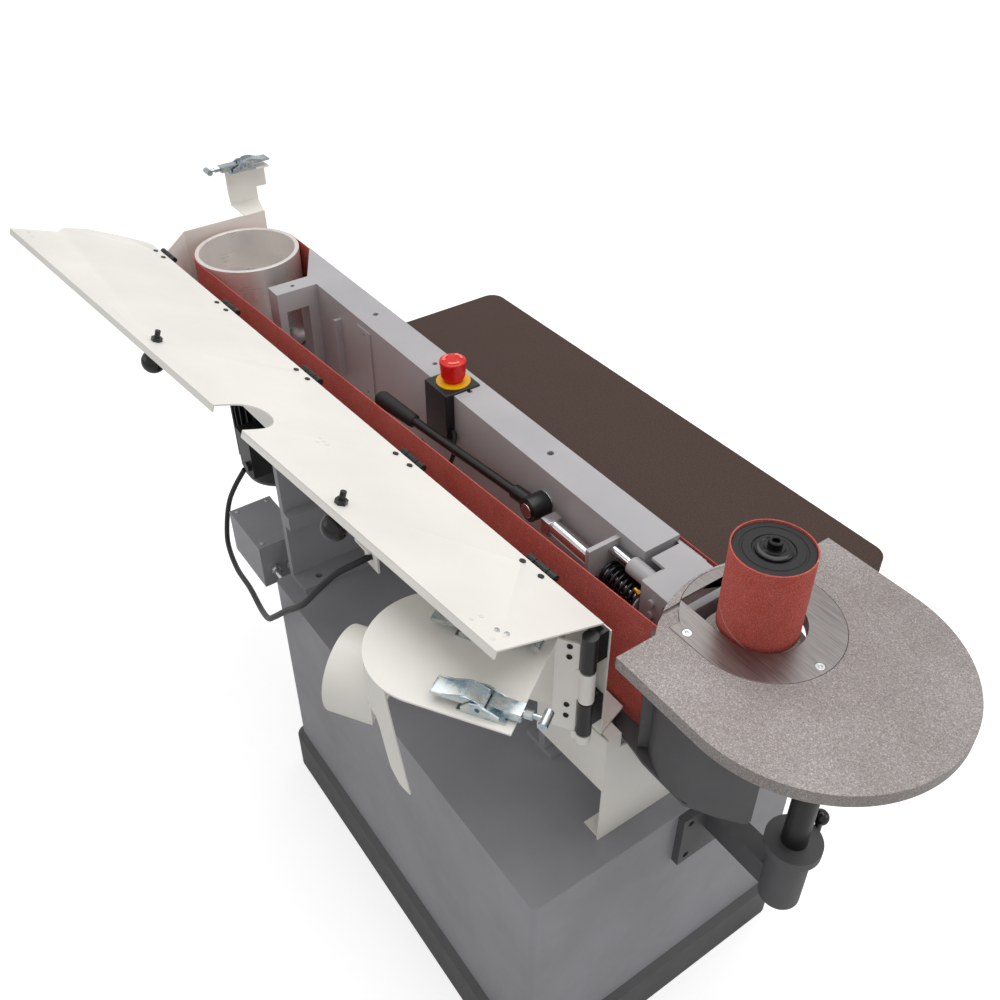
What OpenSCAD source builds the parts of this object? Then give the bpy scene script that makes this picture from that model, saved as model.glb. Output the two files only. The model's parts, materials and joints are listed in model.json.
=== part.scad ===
// Belt and bobbin sander, in mm, Z up, floor at Z 0, operator side towards -Y.
// The bobbin end points to -X, the drive drum end to +X, the dust hood to +Y.

/* [Overall] */
// Height of the end table above the floor
table_h = 760; // [740:1:900]
// Position of the bobbin axis along X
bobbin_x = -354; // [-380:1:-340]
// Distance from the bobbin axis to the drive drum axis
centres = 1052; // [1040:1:1070]

/* [Belt and bobbin] */
// Width of the sanding belt
belt_w = 150; // [140:1:152]
// Thickness of the sanding belt
belt_t = 1.2; // [1:0.1:1.6]
// Diameter of the idler drum
idler_d = 102; // [98:1:104]
// Diameter of the drive drum
drum_d = 162; // [156:1:166]
// Diameter of the bobbin over its sleeve
bobbin_d = 76; // [60:1:78]
// Height of the bobbin above the end table
bobbin_h = 85; // [70:1:110]
// Thickness of the bobbin's abrasive sleeve
sleeve_t = 1.4; // [1:0.1:2]

/* [Tables] */
// Radius of the end table's round end
end_r = 137; // [130:1:145]
// Thickness of the end table
end_t = 14; // [12:0.5:15]
// Width of the slot round the bobbin
slot_w = 84; // [82:1:90]
// Outer width of the steel insert
insert_w = 150; // [146:1:154]
// Thickness of the steel insert
insert_t = 3; // [2:0.5:4]
// Length of the main table
main_l = 761; // [740:1:780]
// Width of the main table
main_w = 216; // [200:1:230]
// Thickness of the main table
main_t = 18; // [16:1:22]
// Height of the end table above the main table
main_drop = 97; // [90:1:110]

/* [Cabinet] */
// Length of the cabinet
cab_l = 620; // [616:1:640]
// Width of the cabinet
cab_w = 426; // [420:1:440]
// Height of the cabinet top under the end table
cab_drop = 350; // [346:1:356]
// Thickness of the cabinet's sheet steel
sheet_t = 3; // [2:0.5:4]
// Height of the plinth
plinth_h = 70; // [60:1:80]
// Step from the cabinet wall out to the plinth
plinth_out = 10; // [6:1:16]

/* [Hood] */
// Opening angle of the flap above the horizontal
flap_open = 20; // [10:1:30]
// Opening angle of the end cover from the closed position
cover_open = 135; // [120:1:135]
// Thickness of the hood's sheet steel
hood_t = 2; // [1.5:0.5:2.5]

/* [Motor] */
// Diameter of the motor over its fins
motor_d = 142; // [130:1:150]
// Length of the finned motor body
motor_l = 212; // [196:1:216]
// Radius of the motor shaft
shaft_r = 12; // [10:0.5:13]

/* [Hidden] */
$fn = 72;
fit = 0.05;
top_drop = 33;
belt_drop = 37;
belt_lo = -belt_drop - belt_w;
cab_r = 8;
idler_r = idler_d / 2;
drum_r = drum_d / 2;
front_y = -idler_r;
drum_y = drum_r - idler_r;
gap = 0.3;
slot_r = slot_w / 2;
ins_r = insert_w / 2;
end_cx = -64;
edge_x = 38;
slot_cx = -2;
ins_cx = -4;
ins_screws = [[24, 66], [24, -66], [-71, 0]];
spin_r = 10;
head_lo = -192;
web_x0 = 152;
web_x1 = 994;
flange_in = 907;
flange_y = -2;
estop_x = 533;
estop_y = -18;
pin_holes = [[343, -27], [746, -27]];
cap_holes = [[505, -24], [586, -24]];
hood_x0 = 82;
hood_a = 2.72;
hinge_z = -20;
hinge_s = [58, 284, 510, 735, 944];
knob_s = [[212, 141], [614, 160]];
cover_x = 84;
cover_y = 126;
cover_shut = 168;
cover_a = cover_shut - cover_open;
cover_z = -33;
leaf_a = 31;
port_r = 45;
port_p = 49;
port_z = -110;
port_a = 238;
tray_z = -190;
cover_p = 122;
cover_r = 72;
cover_c = 129.5;
skirt_a = [24, 4];
skirt_lo = -85;
cover_lo = -172;
latch_p = [102, 22];
latch_a = [-9, 27];
anchor_x = 290;
anchor_y = 193;
post_at = [200, 560];
post_line = -150;
post_lock_z = -285;
lock_z = -340;
post_x = -70;
post_y = -45;
post_r = 14;
main_x0 = 41;
main_y1 = -56;
leg_x = 72;
stand_x = 648;
lever_x = 316;
lever_y = 14;
lever_z = -75;
rod_y = 16;
rod_z = -78;
rod_r = 7;
guide_r = 5;
pin_r = 6;
guide_y = 8;
guide_z = -50;
spring_x0 = 128;
spring_x1 = 190;
spring_r = 15;
wire_r = 2.1;
coils = 8;
motor_top = head_lo - 24;
jx = cab_l / 2 - bobbin_x + 31;
box_l = 105;
box_w = 66;
box_y = cab_w / 2 - 61;
box_bolts = [[box_y + 24, -358], [box_y + 48, -356]];

// All pieces of the head are placed from the bobbin axis at end table height.
module at_head() { translate([bobbin_x, 0, table_h]) children(); }
module at_drum() { at_head() translate([centres, drum_y, 0]) children(); }
module at_flap() {
  at_head() translate([125, 104, hinge_z]) rotate([0, 0, hood_a]) rotate([flap_open, 0, 0]) children();
}
module at_hood() { at_head() translate([125, 104, hinge_z]) rotate([0, 0, hood_a]) children(); }
module at_cover() { at_head() translate([cover_x, cover_y, 0]) rotate([0, 0, cover_a]) children(); }

module ring(ro, ri, h) {
  difference() {
    cylinder(r = ro, h = h);
    translate([0, 0, -1]) cylinder(r = ri, h = h + 2);
  }
}
module block(x0, x1, y0, y1, z0, z1) { translate([x0, y0, z0]) cube([x1 - x0, y1 - y0, z1 - z0]); }
module rod_x(x0, x1, y, z, r) { translate([x0, y, z]) rotate([0, 90, 0]) cylinder(r = r, h = x1 - x0); }
module rod_y(y0, y1, x, z, r) { translate([x, y0, z]) rotate([-90, 0, 0]) cylinder(r = r, h = y1 - y0); }
module wall(p, q, t, z0, z1) {
  translate([p[0], p[1], z0]) rotate([0, 0, atan2(q[1] - p[1], q[0] - p[0])])
    cube([norm(q - p), t, z1 - z0]);
}
module hex(r, h) { cylinder(r = r, h = h, $fn = 6); }

// A tube swept along route points as one closed mesh.
function unit(v) = v / norm(v);
function tangent(p, i) = unit(p[min(i + 1, len(p) - 1)] - p[max(i - 1, 0)]);
function side(t) = unit(cross(t, abs(t[2]) < 0.9 ? [0, 0, 1] : [1, 0, 0]));
function bez(p, t) = let (n = len(p) - 1, k = min(floor(t * n), n - 1), u = t * n - k,
  a = p[max(k - 1, 0)], b = p[k], c = p[k + 1], d = p[min(k + 2, n)])
  0.5 * (2 * b + (c - a) * u + (2 * a - 5 * b + 4 * c - d) * u * u + (3 * b - a - 3 * c + d) * u * u * u);
function smooth(p, m) = [for (i = [0:m]) bez(p, i / m)];
module sweep(p, r, n) {
  m = len(p);
  pts = [for (i = [0:m - 1]) let (t = tangent(p, i), s = side(t), b = cross(s, t))
    for (j = [0:n - 1]) p[i] + r * (cos(360 * j / n) * s + sin(360 * j / n) * b)];
  faces = concat([[for (j = [0:n - 1]) n - 1 - j]],
    [for (i = [0:m - 2]) for (j = [0:n - 1])
      [i * n + j, i * n + (j + 1) % n, (i + 1) * n + (j + 1) % n, (i + 1) * n + j]],
    [[for (j = [0:n - 1]) (m - 1) * n + j]]);
  polyhedron(points = pts, faces = faces, convexity = 8);
}

// Cabinet and plinth
module rounded(x, y, r) {
  square([2 * (x - r), 2 * y], center = true);
  square([2 * x, 2 * (y - r)], center = true);
  for (i = [-1, 1]) for (j = [-1, 1]) translate([i * (x - r), j * (y - r)]) circle(r = r);
}
module cabinet() {
  top = table_h - cab_drop;
  x = cab_l / 2;
  y = cab_w / 2;
  color("#6a6c70") difference() {
    translate([0, 0, plinth_h]) linear_extrude(top - plinth_h) rounded(x, y, cab_r);
    translate([0, 0, plinth_h - 1]) linear_extrude(top - plinth_h - sheet_t)
      rounded(x - sheet_t, y - sheet_t, cab_r - sheet_t);
    for (p = post_at) translate([bobbin_x + p, post_line, top - 10]) cylinder(r = 18, h = 20);
  }
}
module plinth() {
  x = cab_l / 2 + plinth_out;
  y = cab_w / 2 + plinth_out;
  r = cab_r + plinth_out;
  color("#2c2d30") difference() {
    union() {
      linear_extrude(plinth_h) rounded(x, y, r);
      translate([0, 0, plinth_h]) {
        for (i = [-1, 1]) for (j = [-1, 1]) translate([i * (x - r), j * (y - r), 0])
          cylinder(r1 = r, r2 = cab_r, h = 6);
        translate([r - x, 0, 0]) rotate([90, 0, 90]) linear_extrude(2 * (x - r))
          polygon([[-y, 0], [y, 0], [y - plinth_out, 6], [plinth_out - y, 6]]);
        translate([0, y - r, 0]) rotate([90, 0, 0]) linear_extrude(2 * (y - r))
          polygon([[-x, 0], [x, 0], [x - plinth_out, 6], [plinth_out - x, 6]]);
      }
    }
    translate([0, 0, plinth_h]) linear_extrude(8) rounded(cab_l / 2, cab_w / 2, cab_r);
    translate([0, 0, 4]) linear_extrude(plinth_h - 4 - sheet_t)
      rounded(x - sheet_t, y - sheet_t, r - sheet_t);
    translate([0, 0, -1]) linear_extrude(plinth_h + 2) rounded(x - 50, y - 50, 10);
    for (i = [-1, 1]) for (j = [-1, 1]) translate([i * anchor_x, j * anchor_y, -1])
      cylinder(r = 7, h = 8);
  }
}

// Head casting with its platen
module head_girder() {
  color("#7d8085") at_head() difference() {
    union() {
      translate([0, 0, -top_drop - 6]) linear_extrude(6)
        polygon([[web_x0, front_y + 1], [web_x1, front_y + 1], [flange_in, flange_y], [web_x0, flange_y]]);
      block(web_x0, 950, front_y + 6, front_y + 12, head_lo, -top_drop - 6);
      block(web_x0, flange_in, flange_y - 8, flange_y, head_lo, -top_drop - 6);
      for (x = [web_x0, 280, 410, 620, 740, 870]) block(x, x + 8, front_y + 12, flange_y - 8,
        head_lo, -top_drop - 6);
      block(806, 812, flange_y, 8, -150, -60);
    }
    block(estop_x - 25.3, estop_x + 25.3, estop_y - 24.3, 1, -105.3, 0);
    for (p = pin_holes) translate([p[0], p[1], -60]) cylinder(r = 4.2, h = 40);
    for (p = cap_holes) translate([p[0], p[1], -60]) cylinder(r = 3.4, h = 40);
    for (x = [220, 345, 480, 590, 680]) translate([x, 0, -150]) rotate([90, 0, 0])
      cylinder(r = 3.4, h = 20);
  }
}
module inner_plates() {
  color("#5c5f64") at_head() {
    difference() {
      block(877, 907, flange_y, 62, head_lo, -top_drop);
      block(870, 920, 14, 50, -160, -64);
      translate([892, 30, -50]) cylinder(r = 3.4, h = 30);
    }
    difference() {
      block(718, 754, flange_y, flange_y + 2, -155, -44);
      for (z = [-52, -147]) rod_y(-3, 1, 736, z, 2.2);
    }
    difference() {
      block(spring_x1, spring_x1 + 6, flange_y, 40, -150, -40);
      rod_x(180, 200, rod_y, rod_z, rod_r + fit);
      rod_x(180, 200, guide_y, guide_z, guide_r);
    }
  }
}
module platen() {
  color("#b9bcc0") at_head() block(110, 935, front_y + 1, front_y + 6, belt_lo, -belt_drop - 2);
}
module platen_pad() {
  color("#2a2a2c") at_head() block(112, 933, front_y, front_y + 1, belt_lo + 1, -belt_drop - 3);
}

// Motor hanging under the drive drum
module motor_plate() {
  color("#55585d") at_head() difference() {
    translate([0, 0, head_lo - 12]) linear_extrude(12)
      polygon([[860, front_y + 4], [1140, front_y + 4], [1140, 92], [1084, 136], [860, 126]]);
    translate([centres, drum_y, head_lo - 13]) cylinder(r = 26, h = 14);
    for (i = [0:3]) translate([centres, drum_y, head_lo - 13]) rotate([0, 0, 45 + 90 * i])
      translate([58, 0, 0]) cylinder(r = 4.5, h = 14);
  }
}
module motor_body() {
  color("#1f2022") at_drum() difference() {
    union() {
      translate([0, 0, motor_top]) cylinder(r = 70, h = 12);
      translate([0, 0, motor_top - motor_l]) cylinder(r = motor_d / 2 - 8, h = motor_l);
      for (i = [0:29]) rotate([0, 0, 12 * i]) translate([motor_d / 2 - 10, -1.2, motor_top - motor_l + 6])
        cube([10, 2.4, motor_l - 12]);
      translate([0, 0, motor_top - motor_l + 30]) {
        block(-92, -40, 22, 86, 0, 78);
        translate([-76, 86, 18]) rotate([-90, 0, 0]) cylinder(r = 9, h = 6);
      }
    }
    translate([0, 0, motor_top - 40]) cylinder(r = shaft_r + fit, h = 60);
    for (i = [0:3]) translate([0, 0, motor_top - 1]) rotate([0, 0, 45 + 90 * i])
      translate([58, 0, 0]) cylinder(r = 4.5, h = 14);
  }
}
module fan_cowl() {
  z0 = motor_top - motor_l;
  color("#3a3430") at_drum() translate([0, 0, z0]) mirror([0, 0, 1]) difference() {
    rotate_extrude() polygon([[0, 0], [motor_d / 2 - 3, 0], [motor_d / 2 - 3, 22], [motor_d / 2 - 8, 34],
      [motor_d / 2 - 20, 42], [0, 44]]);
    translate([0, 0, 1.6]) rotate_extrude() polygon([[0, -1.7], [motor_d / 2 - 5, -1.7],
      [motor_d / 2 - 5, 19],
      [motor_d / 2 - 10, 30], [motor_d / 2 - 22, 38], [0, 40]]);
    for (r = [12, 24, 36]) for (i = [0:7]) rotate([0, 0, 45 * i]) translate([r, 0, 35])
      cylinder(r = 3, h = 12);
  }
}
module motor_shaft() {
  z1 = -88;
  color("#c2c5c8") at_drum() {
    translate([0, 0, motor_top - 38]) cylinder(r = shaft_r, h = z1 - motor_top + 38);
    translate([0, 0, z1]) cylinder(r = 20, h = 4);
    translate([0, 0, z1 + 4]) hex(11, 10);
  }
}
module drive_drum() {
  z0 = belt_lo - 1;
  color("#b4b6b8") at_drum() difference() {
    union() {
      translate([0, 0, z0]) ring(drum_r, drum_r - 7, belt_w + 2);
      translate([0, 0, -130]) ring(drum_r - 6, 22, 12);
      translate([0, 0, -160]) ring(24, shaft_r, 62);
    }
    for (i = [0:4]) rotate([0, 0, 72 * i]) translate([48, 0, -131]) cylinder(r = 15, h = 14);
  }
}
// Stands that carry the head on the cabinet
module stands() {
  z0 = -cab_drop;
  color("#6a6c70") at_head() difference() {
    union() {
      block(stand_x, stand_x + 12, -60, 190, z0, head_lo - 10);
      block(stand_x, stand_x + 12, 138, 190, head_lo - 12, -110);
      block(stand_x - 36, stand_x + 12, -60, 190, z0, z0 + 8);
      block(stand_x - 15, stand_x, 60, 190, -249, -226);
      block(stand_x - 14, stand_x + 26, front_y + 3, flange_y, head_lo - 10, head_lo);
    }
    for (y = [-30, 60, 160]) translate([stand_x - 20, y, z0 - 1]) cylinder(r = 5, h = 12);
  }
  color("#6a6c70") at_head() difference() {
    union() {
      block(200, 212, -60, 80, z0, head_lo - 10);
      block(188, 236, -60, 80, z0, z0 + 8);
      block(188, 236, front_y + 3, flange_y, head_lo - 10, head_lo);
      block(188, 224, 20, 62, head_lo - 12, head_lo - 2);
      block(60, 200, -30, 30, -234, -222);
      translate([0, 6, 0]) rotate([90, 0, 0]) linear_extrude(12)
        polygon([[80, -234], [200, -234], [200, -330]]);
    }
    for (y = [-40, 60]) translate([226, y, z0 - 1]) cylinder(r = 5, h = 12);
  }
}
module junction_box() {
  color("#5d6065") at_head() difference() {
    block(jx, jx + box_l, box_y, box_y + box_w, -386, -312);
    block(jx + 6, jx + box_l - 6, box_y + 6, box_y + box_w - 6, -387, -320);
    for (p = box_bolts) rod_x(jx - 1, jx + 7, p[0], p[1], 5);
  }
}
module stand_off_bolts() {
  color("#c9ccd0") at_head() for (p = box_bolts) {
    rod_x(cab_l / 2 - bobbin_x, jx + 12, p[0], p[1], 5);
    translate([jx - 7, p[0], p[1]]) rotate([0, 90, 0]) hex(8, 7);
  }
}
run = [[1004, 116, -404], [1016, 134, -440], [1030, 146, -480], [1030, 158, -525], [1000, 172, -546],
  [930, 186, -542], [846, 196, -518], [764, 210, -492], [694, 224, -446], [640, 233, -394],
  [590, 231, -342], [545, 223, -298], [520, 206, -258], [508, 184, -234],
  [498, 162, -222], [494, 144, -217], [494, 132, -217]];
module conduit() {
  color("#141414") at_head() sweep(smooth(run, 72), 4.4, 10);
}
// Emergency stop and its cable
module estop_box() {
  color("#1c1c1e") at_head() difference() {
    block(estop_x - 25, estop_x + 25, estop_y - 24, estop_y + 28, -105, -top_drop + 3);
    translate([estop_x, estop_y, -70]) cylinder(r = 12.05, h = 64);
  }
}
module estop_ring() {
  color("#f2c500") at_head() translate([estop_x, estop_y, -top_drop + 3]) ring(22, 12.05, 2);
}
module estop_button() {
  color("#d81e1e") at_head() translate([estop_x, estop_y, 0]) {
    translate([0, 0, -62]) cylinder(r = 12, h = 48);
    rotate_extrude() polygon([[0, -15], [15, -15], [19, -12], [20, -7], [19, -1], [16, 2], [0, 3]]);
  }
}
wire = [[506.6, 2, -84], [500, 3.5, -87], [494, 9, -96], [492, 12, -110], [498, 15, -128], [510, 20, -146],
  [520, 28, -162], [527, 39, -178], [528, 44, -194]];
module estop_cable() {
  color("#101010") at_head() sweep(smooth(wire, 24), 3, 8);
}

// Belt tension lever and idler carriage
module lever_hub() {
  color("#1a1a1c") at_head() difference() {
    union() {
      rod_y(1, 25.5, lever_x, lever_z, 15);
      translate([lever_x + 10, lever_y, lever_z]) rotate([0, 90, 6]) cylinder(r = 9, h = 26);
      translate([lever_x + 35, lever_y + 3, lever_z]) rotate([0, 90, 6]) cylinder(r = 6, h = 190);
    }
    rod_y(-10, 40, lever_x, lever_z, pin_r + fit);
  }
}
module lever_grip() {
  color("#222224") at_head() translate([lever_x + 35, lever_y + 3, lever_z]) rotate([0, 90, 6])
    translate([0, 0, 190]) rotate_extrude()
      polygon([[0, 0], [7, 0], [9, 3], [11, 60], [11.5, 70], [9, 76], [0, 78]]);
}
module tension_rod() {
  color("#c6c9cc") at_head() {
    rod_x(104, 212, rod_y, rod_z, rod_r);
    rod_x(212, 276, rod_y, rod_z, 9);
    block(276, 290, rod_y - 10, rod_y + 10, -88, -68);
  }
}
module head_pins() {
  color("#c9ccd0") at_head() {
    rod_y(flange_y, flange_y + 2, lever_x, lever_z, 14);
    rod_y(flange_y + 2, 26, lever_x, lever_z, pin_r);
    rod_y(26, 28, lever_x, lever_z, 9);
    rod_x(104, spring_x1 + 6, guide_y, guide_z, guide_r);
  }
}
module tension_spring() {
  pts = [for (i = [0:coils * 8]) let (t = i / (coils * 8), a = 45 * i)
    [spring_x0 + wire_r + 0.05 + (spring_x1 - spring_x0 - wire_r * 2 - 0.1) * t,
     rod_y + spring_r * cos(a), rod_z + spring_r * sin(a)]];
  echo("spring gap", (spring_x1 - spring_x0 - wire_r * 2 - 0.1) / coils - 2 * wire_r);
  color("#151515") at_head() sweep(pts, wire_r, 6);
}
module grease_nipple() {
  color("#b58a34") at_head() {
    translate([126, 24, -58]) rotate([0, 90, 0]) hex(4, 4);
    translate([130, 24, -58]) rotate([0, 90, 0]) rotate_extrude()
      polygon([[0, 0], [2.6, 0], [2.6, 3], [3, 5], [1.5, 7], [0, 7]]);
  }
}
module idler_carriage() {
  color("#8b8e92") at_head() difference() {
    union() {
      block(66, 126, -43, 25, -222, -belt_drop);
      block(-20, 126, -34, 25, -222, -202);
      translate([0, 0, -222]) cylinder(r = 34, h = 20);
      translate([0, 0, -202]) cylinder(r = 28, h = 130);
      rod_x(126, 158, guide_y, guide_z, 10);
      rod_x(126, spring_x0, rod_y, rod_z, 18);
    }
    translate([0, 0, -230]) cylinder(r = spin_r + fit, h = 200);
    rod_x(96, 200, guide_y, guide_z, guide_r + fit);
    rod_x(104, 140, rod_y, rod_z, rod_r);
    rod_y(22, 26, 71, -44, 7);
  }
}
module carriage_plates() {
  color("#a3a6aa") at_head() {
    translate([0, 0, -belt_drop]) linear_extrude(4)
      polygon([[62, -43], [142, -43], [142, -2], [122, -2], [122, 29], [62, 29]]);
    difference() {
      block(62, 122, 25, 29, -108, -belt_drop);
      block(86, 90, 24, 30, -68, -44);
      rod_y(24, 30, 71, -54, 8);
    }
    for (z = [-50, -66]) rod_y(29, 32, 105, z, 4);
  }
}
module idler_drum() {
  color("#b4b6b8") at_head() {
    translate([0, 0, belt_lo - 1]) ring(idler_r, idler_r - 7, belt_w + 2);
    translate([0, 0, -62]) ring(idler_r - 6, 18, 12);
    translate([0, 0, -68]) ring(20, spin_r, 32);
  }
}
module spindle() {
  color("#c2c5c8") at_head() {
    difference() {
      translate([0, 0, -226]) cylinder(r = spin_r, h = 226 + bobbin_h - 5);
      translate([0, 0, bobbin_h - 30]) cylinder(r = 4, h = 40);
    }
    translate([0, 0, -36]) ring(13, spin_r - 1, 28);
  }
}
module bobbin_core() {
  color("#2e2e30") at_head() translate([0, 0, -8])
    ring(bobbin_d / 2 - sleeve_t, spin_r, 8 + bobbin_h - 2);
}
module bobbin_sleeve() {
  color("#a5503f") at_head() translate([0, 0, -8])
    ring(bobbin_d / 2, bobbin_d / 2 - sleeve_t, 8 + bobbin_h);
}
module bobbin_washer() {
  color("#1b1b1c") at_head() {
    translate([0, 0, bobbin_h - 2]) rotate_extrude() polygon([[0, 0], [17, 0], [17, 1.5], [15, 3], [0, 3]]);
    difference() {
      translate([0, 0, bobbin_h + 1]) cylinder(r = 6.5, h = 7);
      translate([0, 0, bobbin_h + 4]) hex(3.4, 5);
    }
    translate([0, 0, bobbin_h - 28]) cylinder(r = 4, h = 27);
  }
}

// Sanding belt: two straight runs and two wraps
module belt_loop(g) {
  r0 = idler_r + g;
  r1 = drum_r + g;
  d = norm([centres, drum_y]);
  ax = atan2(drum_y, centres);
  q = asin((r1 - r0) / d);
  t = ax + 90 + q;
  polygon(concat(
    [for (i = [0:36]) let (a = t + (270 - t) * i / 36) r0 * [cos(a), sin(a)]],
    [for (i = [0:48]) let (a = -90 + (t + 90) * i / 48) [centres, drum_y] + r1 * [cos(a), sin(a)]]));
}
module sanding_belt() {
  color("#a5503f") at_head() translate([0, 0, belt_lo]) linear_extrude(belt_w) difference() {
    belt_loop(gap + belt_t);
    belt_loop(gap);
  }
}

// End table, its insert and its column
module u_shape(r, x1) {
  circle(r = r);
  translate([0, -r]) square([x1, 2 * r]);
}
module end_outline() {
  translate([end_cx, 0]) u_shape(end_r, edge_x - end_cx);
}
module end_table() {
  color("#6f6a68") at_head() difference() {
    union() {
      translate([0, 0, -end_t]) linear_extrude(end_t) end_outline();
      translate([post_x, post_y, -end_t - 10]) cylinder(r = 28, h = 10);
    }
    translate([slot_cx, 0, -end_t - 1]) linear_extrude(end_t + 2) u_shape(slot_r, 60);
    translate([ins_cx, 0, -insert_t]) linear_extrude(insert_t + 1) u_shape(ins_r, 60);
    translate([post_x, post_y, -end_t - 11]) cylinder(r = post_r, h = 20);
    for (p = ins_screws) translate([p[0], p[1], -end_t - 1]) cylinder(r = 2.5, h = 20);
  }
}
module table_insert() {
  color("#c4c2c0") at_head() translate([0, 0, -insert_t]) linear_extrude(insert_t) difference() {
    translate([ins_cx, 0]) u_shape(ins_r - 0.3, edge_x - ins_cx);
    translate([slot_cx, 0]) u_shape(slot_r, 60);
    for (p = ins_screws) translate(p) circle(r = 4.5);
  }
}
module insert_screws() {
  color("#d5d8da") at_head() for (p = ins_screws) translate([p[0], p[1], 0]) {
    difference() {
      translate([0, 0, -insert_t]) cylinder(r = 4.45, h = insert_t - 0.3);
      translate([0, 0, -1.5]) hex(2.2, 3);
    }
    translate([0, 0, -12]) cylinder(r = 2.5, h = 12 - insert_t);
  }
}
module table_column() {
  color("#17181a") at_head() difference() {
    translate([post_x, post_y, -385]) cylinder(r = post_r, h = 385 - end_t + 9);
    block(post_x - 2.5, post_x + 2.5, post_y - post_r - 1, post_y - post_r + 2, -340, -60);
  }
}
module table_sockets() {
  color("#4a4c50") at_head() difference() {
    union() {
      translate([post_x, post_y, -400]) cylinder(r = 23, h = 100);
      translate([post_x, post_y, -312]) cylinder(r = 31, h = 12);
      block(post_x, 40, post_y - 13, post_y + 13, -396, -360);
      block(34, cab_l / -2 - bobbin_x, -96, 6, -440, -354);
      rod_y(post_y - 34, post_y - 20, post_x, lock_z, 9);
    }
    rod_y(post_y - 40, post_y - 10, post_x, lock_z, 4);
    translate([post_x, post_y, -401]) cylinder(r = post_r + fit, h = 110);
    for (y = [-84, -6]) for (z = [-428, -366]) rod_x(30, 50, y, z, 4.5);
  }
  color("#4a4c50") at_head() for (x = post_at) difference() {
    union() {
      translate([x, post_line, -cab_drop]) cylinder(r = 42, h = 10);
      translate([x, post_line, -cab_drop]) cylinder(r = 24, h = 90);
      rod_y(post_line - 34, post_line - 20, x, post_lock_z, 9);
    }
    translate([x, post_line, -cab_drop - 1]) cylinder(r = 15 + fit, h = 100);
    for (a = [45:90:315]) translate([x + 34 * cos(a), post_line + 34 * sin(a), -cab_drop - 1])
      cylinder(r = 4, h = 12);
    rod_y(post_line - 40, post_line - 10, x, post_lock_z, 4);
  }
}
module lock_lever() {
  rod_y(0, 19, 0, 0, 4 - fit);
  rod_y(-12, 0, 0, 0, 9);
  translate([0, -6, 0]) cylinder(r = 4, h = 46);
  translate([0, -6, 46]) sphere(r = 9);
}
module post_lock_a() {
  color("#1a1a1b") at_head() translate([post_at[0], post_line - 34, post_lock_z]) lock_lever();
}
module post_lock_b() {
  color("#1a1a1b") at_head() translate([post_at[1], post_line - 34, post_lock_z]) lock_lever();
}
module column_lock() {
  color("#1a1a1b") at_head() translate([post_x, post_y - 34, lock_z]) lock_lever();
}
module idler_guard() {
  color("#3d3f42") at_head() {
    translate([0, 0, belt_lo]) intersection() {
      ring(84, 79, belt_w - 1);
      linear_extrude(belt_w) polygon([[0, 0], 130 * [cos(48), sin(48)], 130 * [cos(75), sin(75)],
        130 * [cos(110), sin(110)], 130 * [cos(148), sin(148)]]);
    }
    translate([0, 0, head_lo - 2]) linear_extrude(4) polygon([[-70, 46], [-58, 58],
      [-20, 80], [20, 80], [58, 56], [90, 38], [212, 38], [212, 60], [96, 74], [40, 83],
      [-20, 83], [-66, 52]]);
    translate([0, 0, head_lo + 2]) intersection() {
      ring(84, 79, 4);
      linear_extrude(9) polygon([[0, 0], 130 * [cos(48), sin(48)], 130 * [cos(75), sin(75)],
        130 * [cos(110), sin(110)], 130 * [cos(148), sin(148)]]);
    }
    translate([60, 66, belt_lo]) rotate([0, 0, 48]) block(-8, 5, -2, 10, 0, belt_w + 6);
  }
}

// Main table on two locked posts
module main_table() {
  r = 20;
  x1 = main_x0 + main_l;
  y0 = main_y1 - main_w;
  color("#3b2d28") at_head() difference() {
    translate([0, 0, -main_drop - main_t]) linear_extrude(main_t) union() {
      translate([main_x0 + r, y0]) square([main_l - 2 * r, main_w]);
      translate([main_x0, y0 + r]) square([main_l, main_w - r]);
      for (x = [main_x0 + r, x1 - r]) translate([x, y0 + r]) circle(r = r);
    }
    for (x = post_at) translate([x, post_line, -main_drop - main_t - 1]) cylinder(r = 15, h = 9);
  }
}
module table_posts() {
  z1 = -main_drop - main_t;
  color("#8e9194") at_head() for (x = post_at) {
    translate([x, post_line, z1 - 210]) cylinder(r = 15, h = 218);
    translate([x, post_line, z1 - 10]) ring(32, 15, 10);
  }
}
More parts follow.
